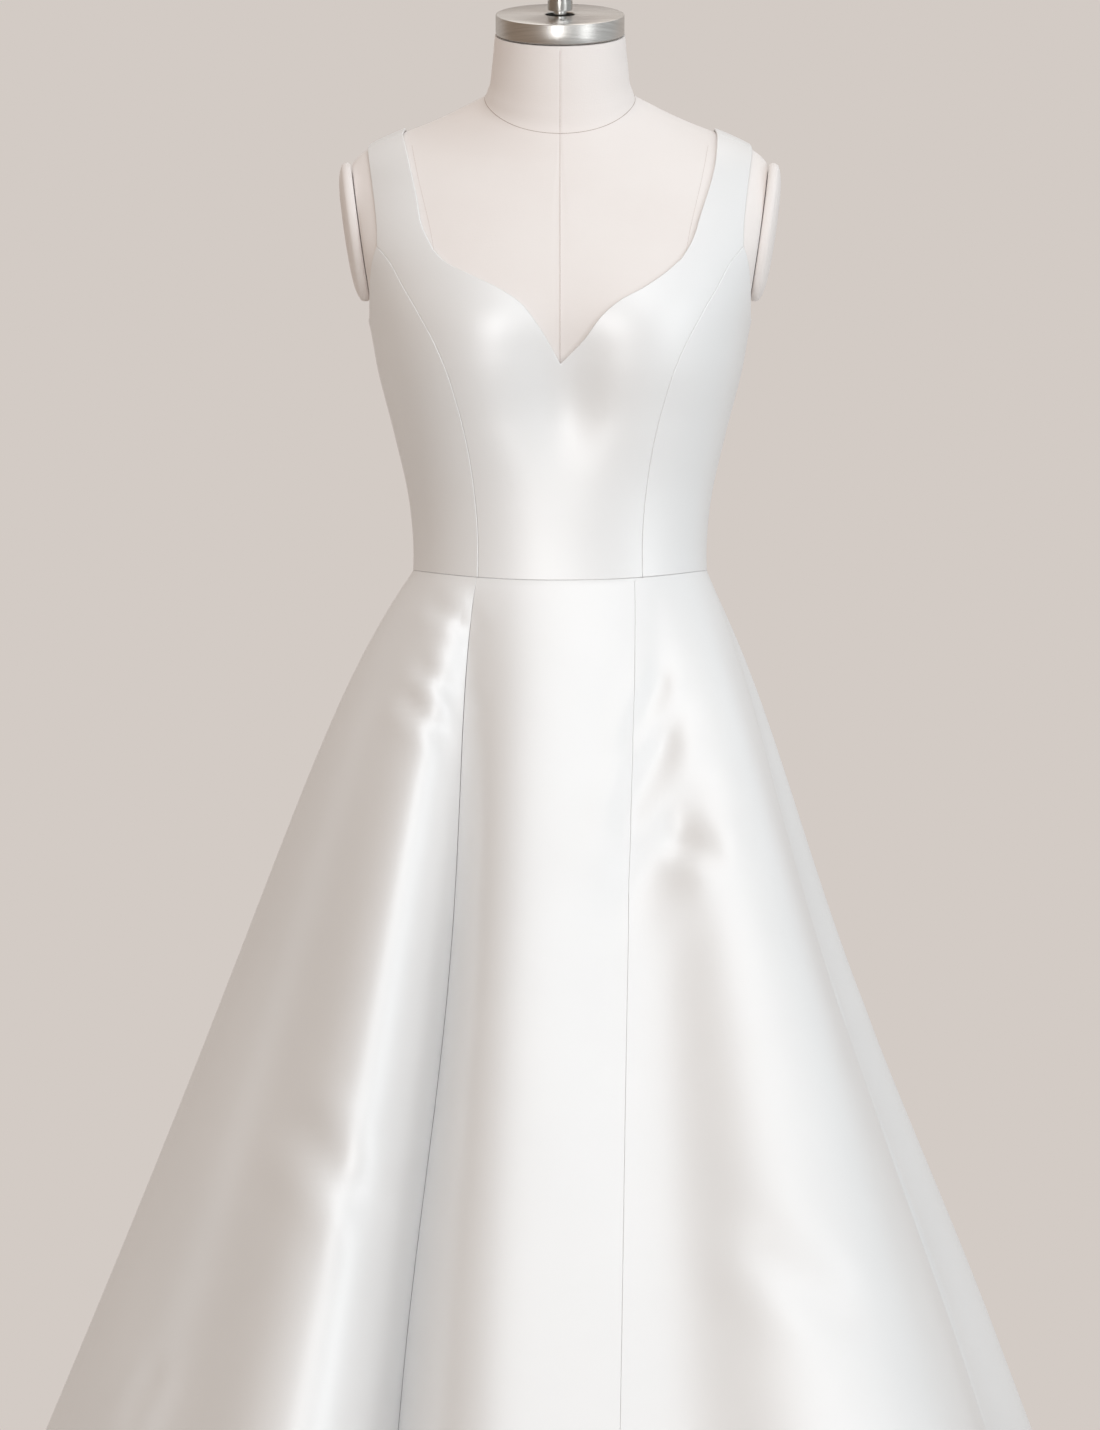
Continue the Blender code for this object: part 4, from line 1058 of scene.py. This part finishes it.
def steel_cap(look):
    """The steel cap, turned with softly rounded edges and a hole for the rod."""
    low = FIT_GAP
    high = FIT_GAP + CAP_THICKNESS
    soft = CAP_EDGE * CAP_SOFT_SHARE
    profile = [
        (CAP_RADIUS - CAP_EDGE, low),
        (CAP_RADIUS, low + CAP_EDGE),
        (CAP_RADIUS, high - CAP_EDGE),
        (CAP_RADIUS - soft, high - soft),
        (CAP_RADIUS - CAP_EDGE, high),
        (CAP_RADIUS * CAP_TOP_RING, high),
        (CAP_HOLE_RADIUS + CAP_HOLE_EDGE, high),
        (CAP_HOLE_RADIUS, high - CAP_HOLE_EDGE),
        (CAP_HOLE_RADIUS, low + CAP_FLOOR),
    ]
    cap = loft("steel_cap", rings_of(profile, CAP_SIDES), look, SHARP_CAP)
    cap.data.transform(neck_seat())
    return cap


def steel_rod(look):
    """The rod that stands in the cap's hole: a thin stem under a wider sleeve with a rounded top."""
    high = FIT_GAP + CAP_THICKNESS
    sleeve = high + SLEEVE_RISE
    top = high + ROD_REACH
    profile = [(STEM_RADIUS, FIT_GAP + CAP_FLOOR + FIT_GAP), (STEM_RADIUS, sleeve)]
    profile += [(ROD_RADIUS - inward, sleeve + up) for inward, up in SLEEVE_EDGE]
    profile += [(ROD_RADIUS - inward, top - down) for inward, down in ROD_END]
    rod = loft("steel_rod", rings_of(profile, ROD_SIDES), look)
    rod.data.transform(neck_seat())
    return rod


def dress_node(name, look):
    """Give a solid that is shown as it is a new material."""
    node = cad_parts[name]
    node.data.materials.clear()
    node.data.materials.append(look)
    node.data.shade_smooth()
    node.data.set_sharp_from_angle(angle=math.radians(SHARP_STAND))


def area_light(name, place, size, power, colour):
    """A rectangular light that faces the dress."""
    data = bpy.data.lights.new(name, "AREA")
    data.shape = "RECTANGLE"
    data.size, data.size_y = size
    data.energy = power
    data.color = colour
    made = bpy.data.objects.new(name, data)
    made.location = place
    made.rotation_euler = (Vector(LIGHT_AIM) - Vector(place)).to_track_quat("-Z", "Y").to_euler()
    bpy.context.scene.collection.objects.link(made)


def blend_along(tree, value, low, high, ends):
    """Mix two colours as a value goes from the first end to the second."""
    span = tree.nodes.new("ShaderNodeMapRange")
    span.interpolation_type = "SMOOTHSTEP"
    span.inputs["From Min"].default_value = ends[0]
    span.inputs["From Max"].default_value = ends[1]
    tree.links.new(value, span.inputs["Value"])
    mix = tree.nodes.new("ShaderNodeMix")
    mix.data_type = "RGBA"
    tree.links.new(span.outputs["Result"], mix.inputs["Factor"])
    # The mix has a socket for each kind of value: inputs 6 and 7 and output 2 are the colours
    for socket, colour in ((mix.inputs[6], low), (mix.inputs[7], high)):
        if isinstance(colour, tuple):
            socket.default_value = colour + (1,)
        else:
            tree.links.new(colour, socket)
    return mix.outputs[2]


def surround():
    """A plain surround: the wall's tone behind, and in front dim and warm left, lighter right."""
    world = bpy.data.worlds.new("surround")
    world.use_nodes = True
    tree = world.node_tree
    background = tree.nodes["Background"]
    at = tree.nodes.new("ShaderNodeTexCoord")
    split = tree.nodes.new("ShaderNodeSeparateXYZ")
    tree.links.new(at.outputs["Generated"], split.inputs["Vector"])
    front = blend_along(tree, split.outputs["X"], LEFT_TONE, RIGHT_TONE, SIDE_BLEND)
    around = blend_along(tree, split.outputs["Y"], front, WALL_TONE, DEPTH_BLEND)
    tree.links.new(around, background.inputs["Color"])
    background.inputs["Strength"].default_value = 1.0
    bpy.context.scene.world = world


def studio():
    """A round pale floor, the plain surround and the lights."""
    n = Nodes("floor")
    n.set(Roughness=0.8, Base_Color=FLOOR_TONE)
    profile = ((FLOOR_RADIUS, -FLOOR_DEPTH), (FLOOR_RADIUS, 0.0))
    floor = loft("floor", rings_of(profile, FLOOR_SIDES), n.look)
    floor.location.z = -FLOOR_DROP
    surround()
    bpy.context.scene.view_settings.view_transform = "Standard"
    for light in LIGHTS:
        area_light(*light)


def camera():
    """The camera, square on to the dress, at the photo's scale."""
    data = bpy.data.cameras.new("camera")
    # The sensor's width lies along the picture's longer side, which is its height
    data.sensor_width = SENSOR
    data.lens = SENSOR * CAMERA_DISTANCE / (PICTURE[1] * SCALE)
    made = bpy.data.objects.new("camera", data)
    made.location = ((PICTURE[0] / 2 - CENTRE_PIXEL) * SCALE, -CAMERA_DISTANCE, CAMERA_HEIGHT)
    made.rotation_euler = (math.pi / 2, 0, 0)
    bpy.context.scene.collection.objects.link(made)
    bpy.context.scene.camera = made


def dress_panels(skin):
    """The bodice and the skirt, each panel in place of its solid."""
    satin = satin_look()
    panels = bodice(skin, satin)
    panels.update(skirt(satin))
    for node, (piece, (width, length, area)) in panels.items():
        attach(piece, "root")
        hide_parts(node)


def form_covers():
    """The torso, the arm plates, the cap and the rod, each in place of its solid."""
    cover = form_look()
    covers = (
        (form_skin(cover), "form_torso", "form_cloth"),
        (arm_plate(-1, cover), "form_arm_plate_left", "form_cloth"),
        (arm_plate(1, cover), "form_arm_plate_right", "form_cloth"),
        (steel_cap(steel_look("cap_steel")), "form_neck_cap", "steel"),
        (steel_rod(steel_look("rod_steel")), "form_neck_rod", "steel"),
    )
    for piece, node, slot in covers:
        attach(piece, "root")
        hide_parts(node)


def sewn_lines(skin):
    """The form's threads and the zip's coil."""
    # The neck seam's dark colour is painted shade along the seam.
    seam = neck_base_seam(skin, thread_look("painted_seam_shade"))
    fine_lines = chest_lines(skin, thread_look("fine_line"))
    coil = zip_coil(skin, thread_look("zip_nylon"))
    sewn = [(line, "form_cloth") for line in fine_lines] + [(seam, "form_cloth"), (coil, "satin")]
    for piece, slot in sewn:
        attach(piece, "root")


def shown_solids():
    """New materials for the solids that are shown as they are: the stand and the zip's hard pieces."""
    stand_steel = steel_look("stand_steel")
    zip_metal = steel_look("zip_metal")
    for name in ("stand_collar", "stand_pole", "stand_base"):
        dress_node(name, stand_steel)
    for name in ("zip_slider", "zip_tab"):
        dress_node(name, zip_metal)


def main():
    """Set the camera and the room, then build the looks of every piece."""
    camera()
    studio()
    skin = Surface()
    dress_panels(skin)
    form_covers()
    sewn_lines(skin)
    shown_solids()


main()
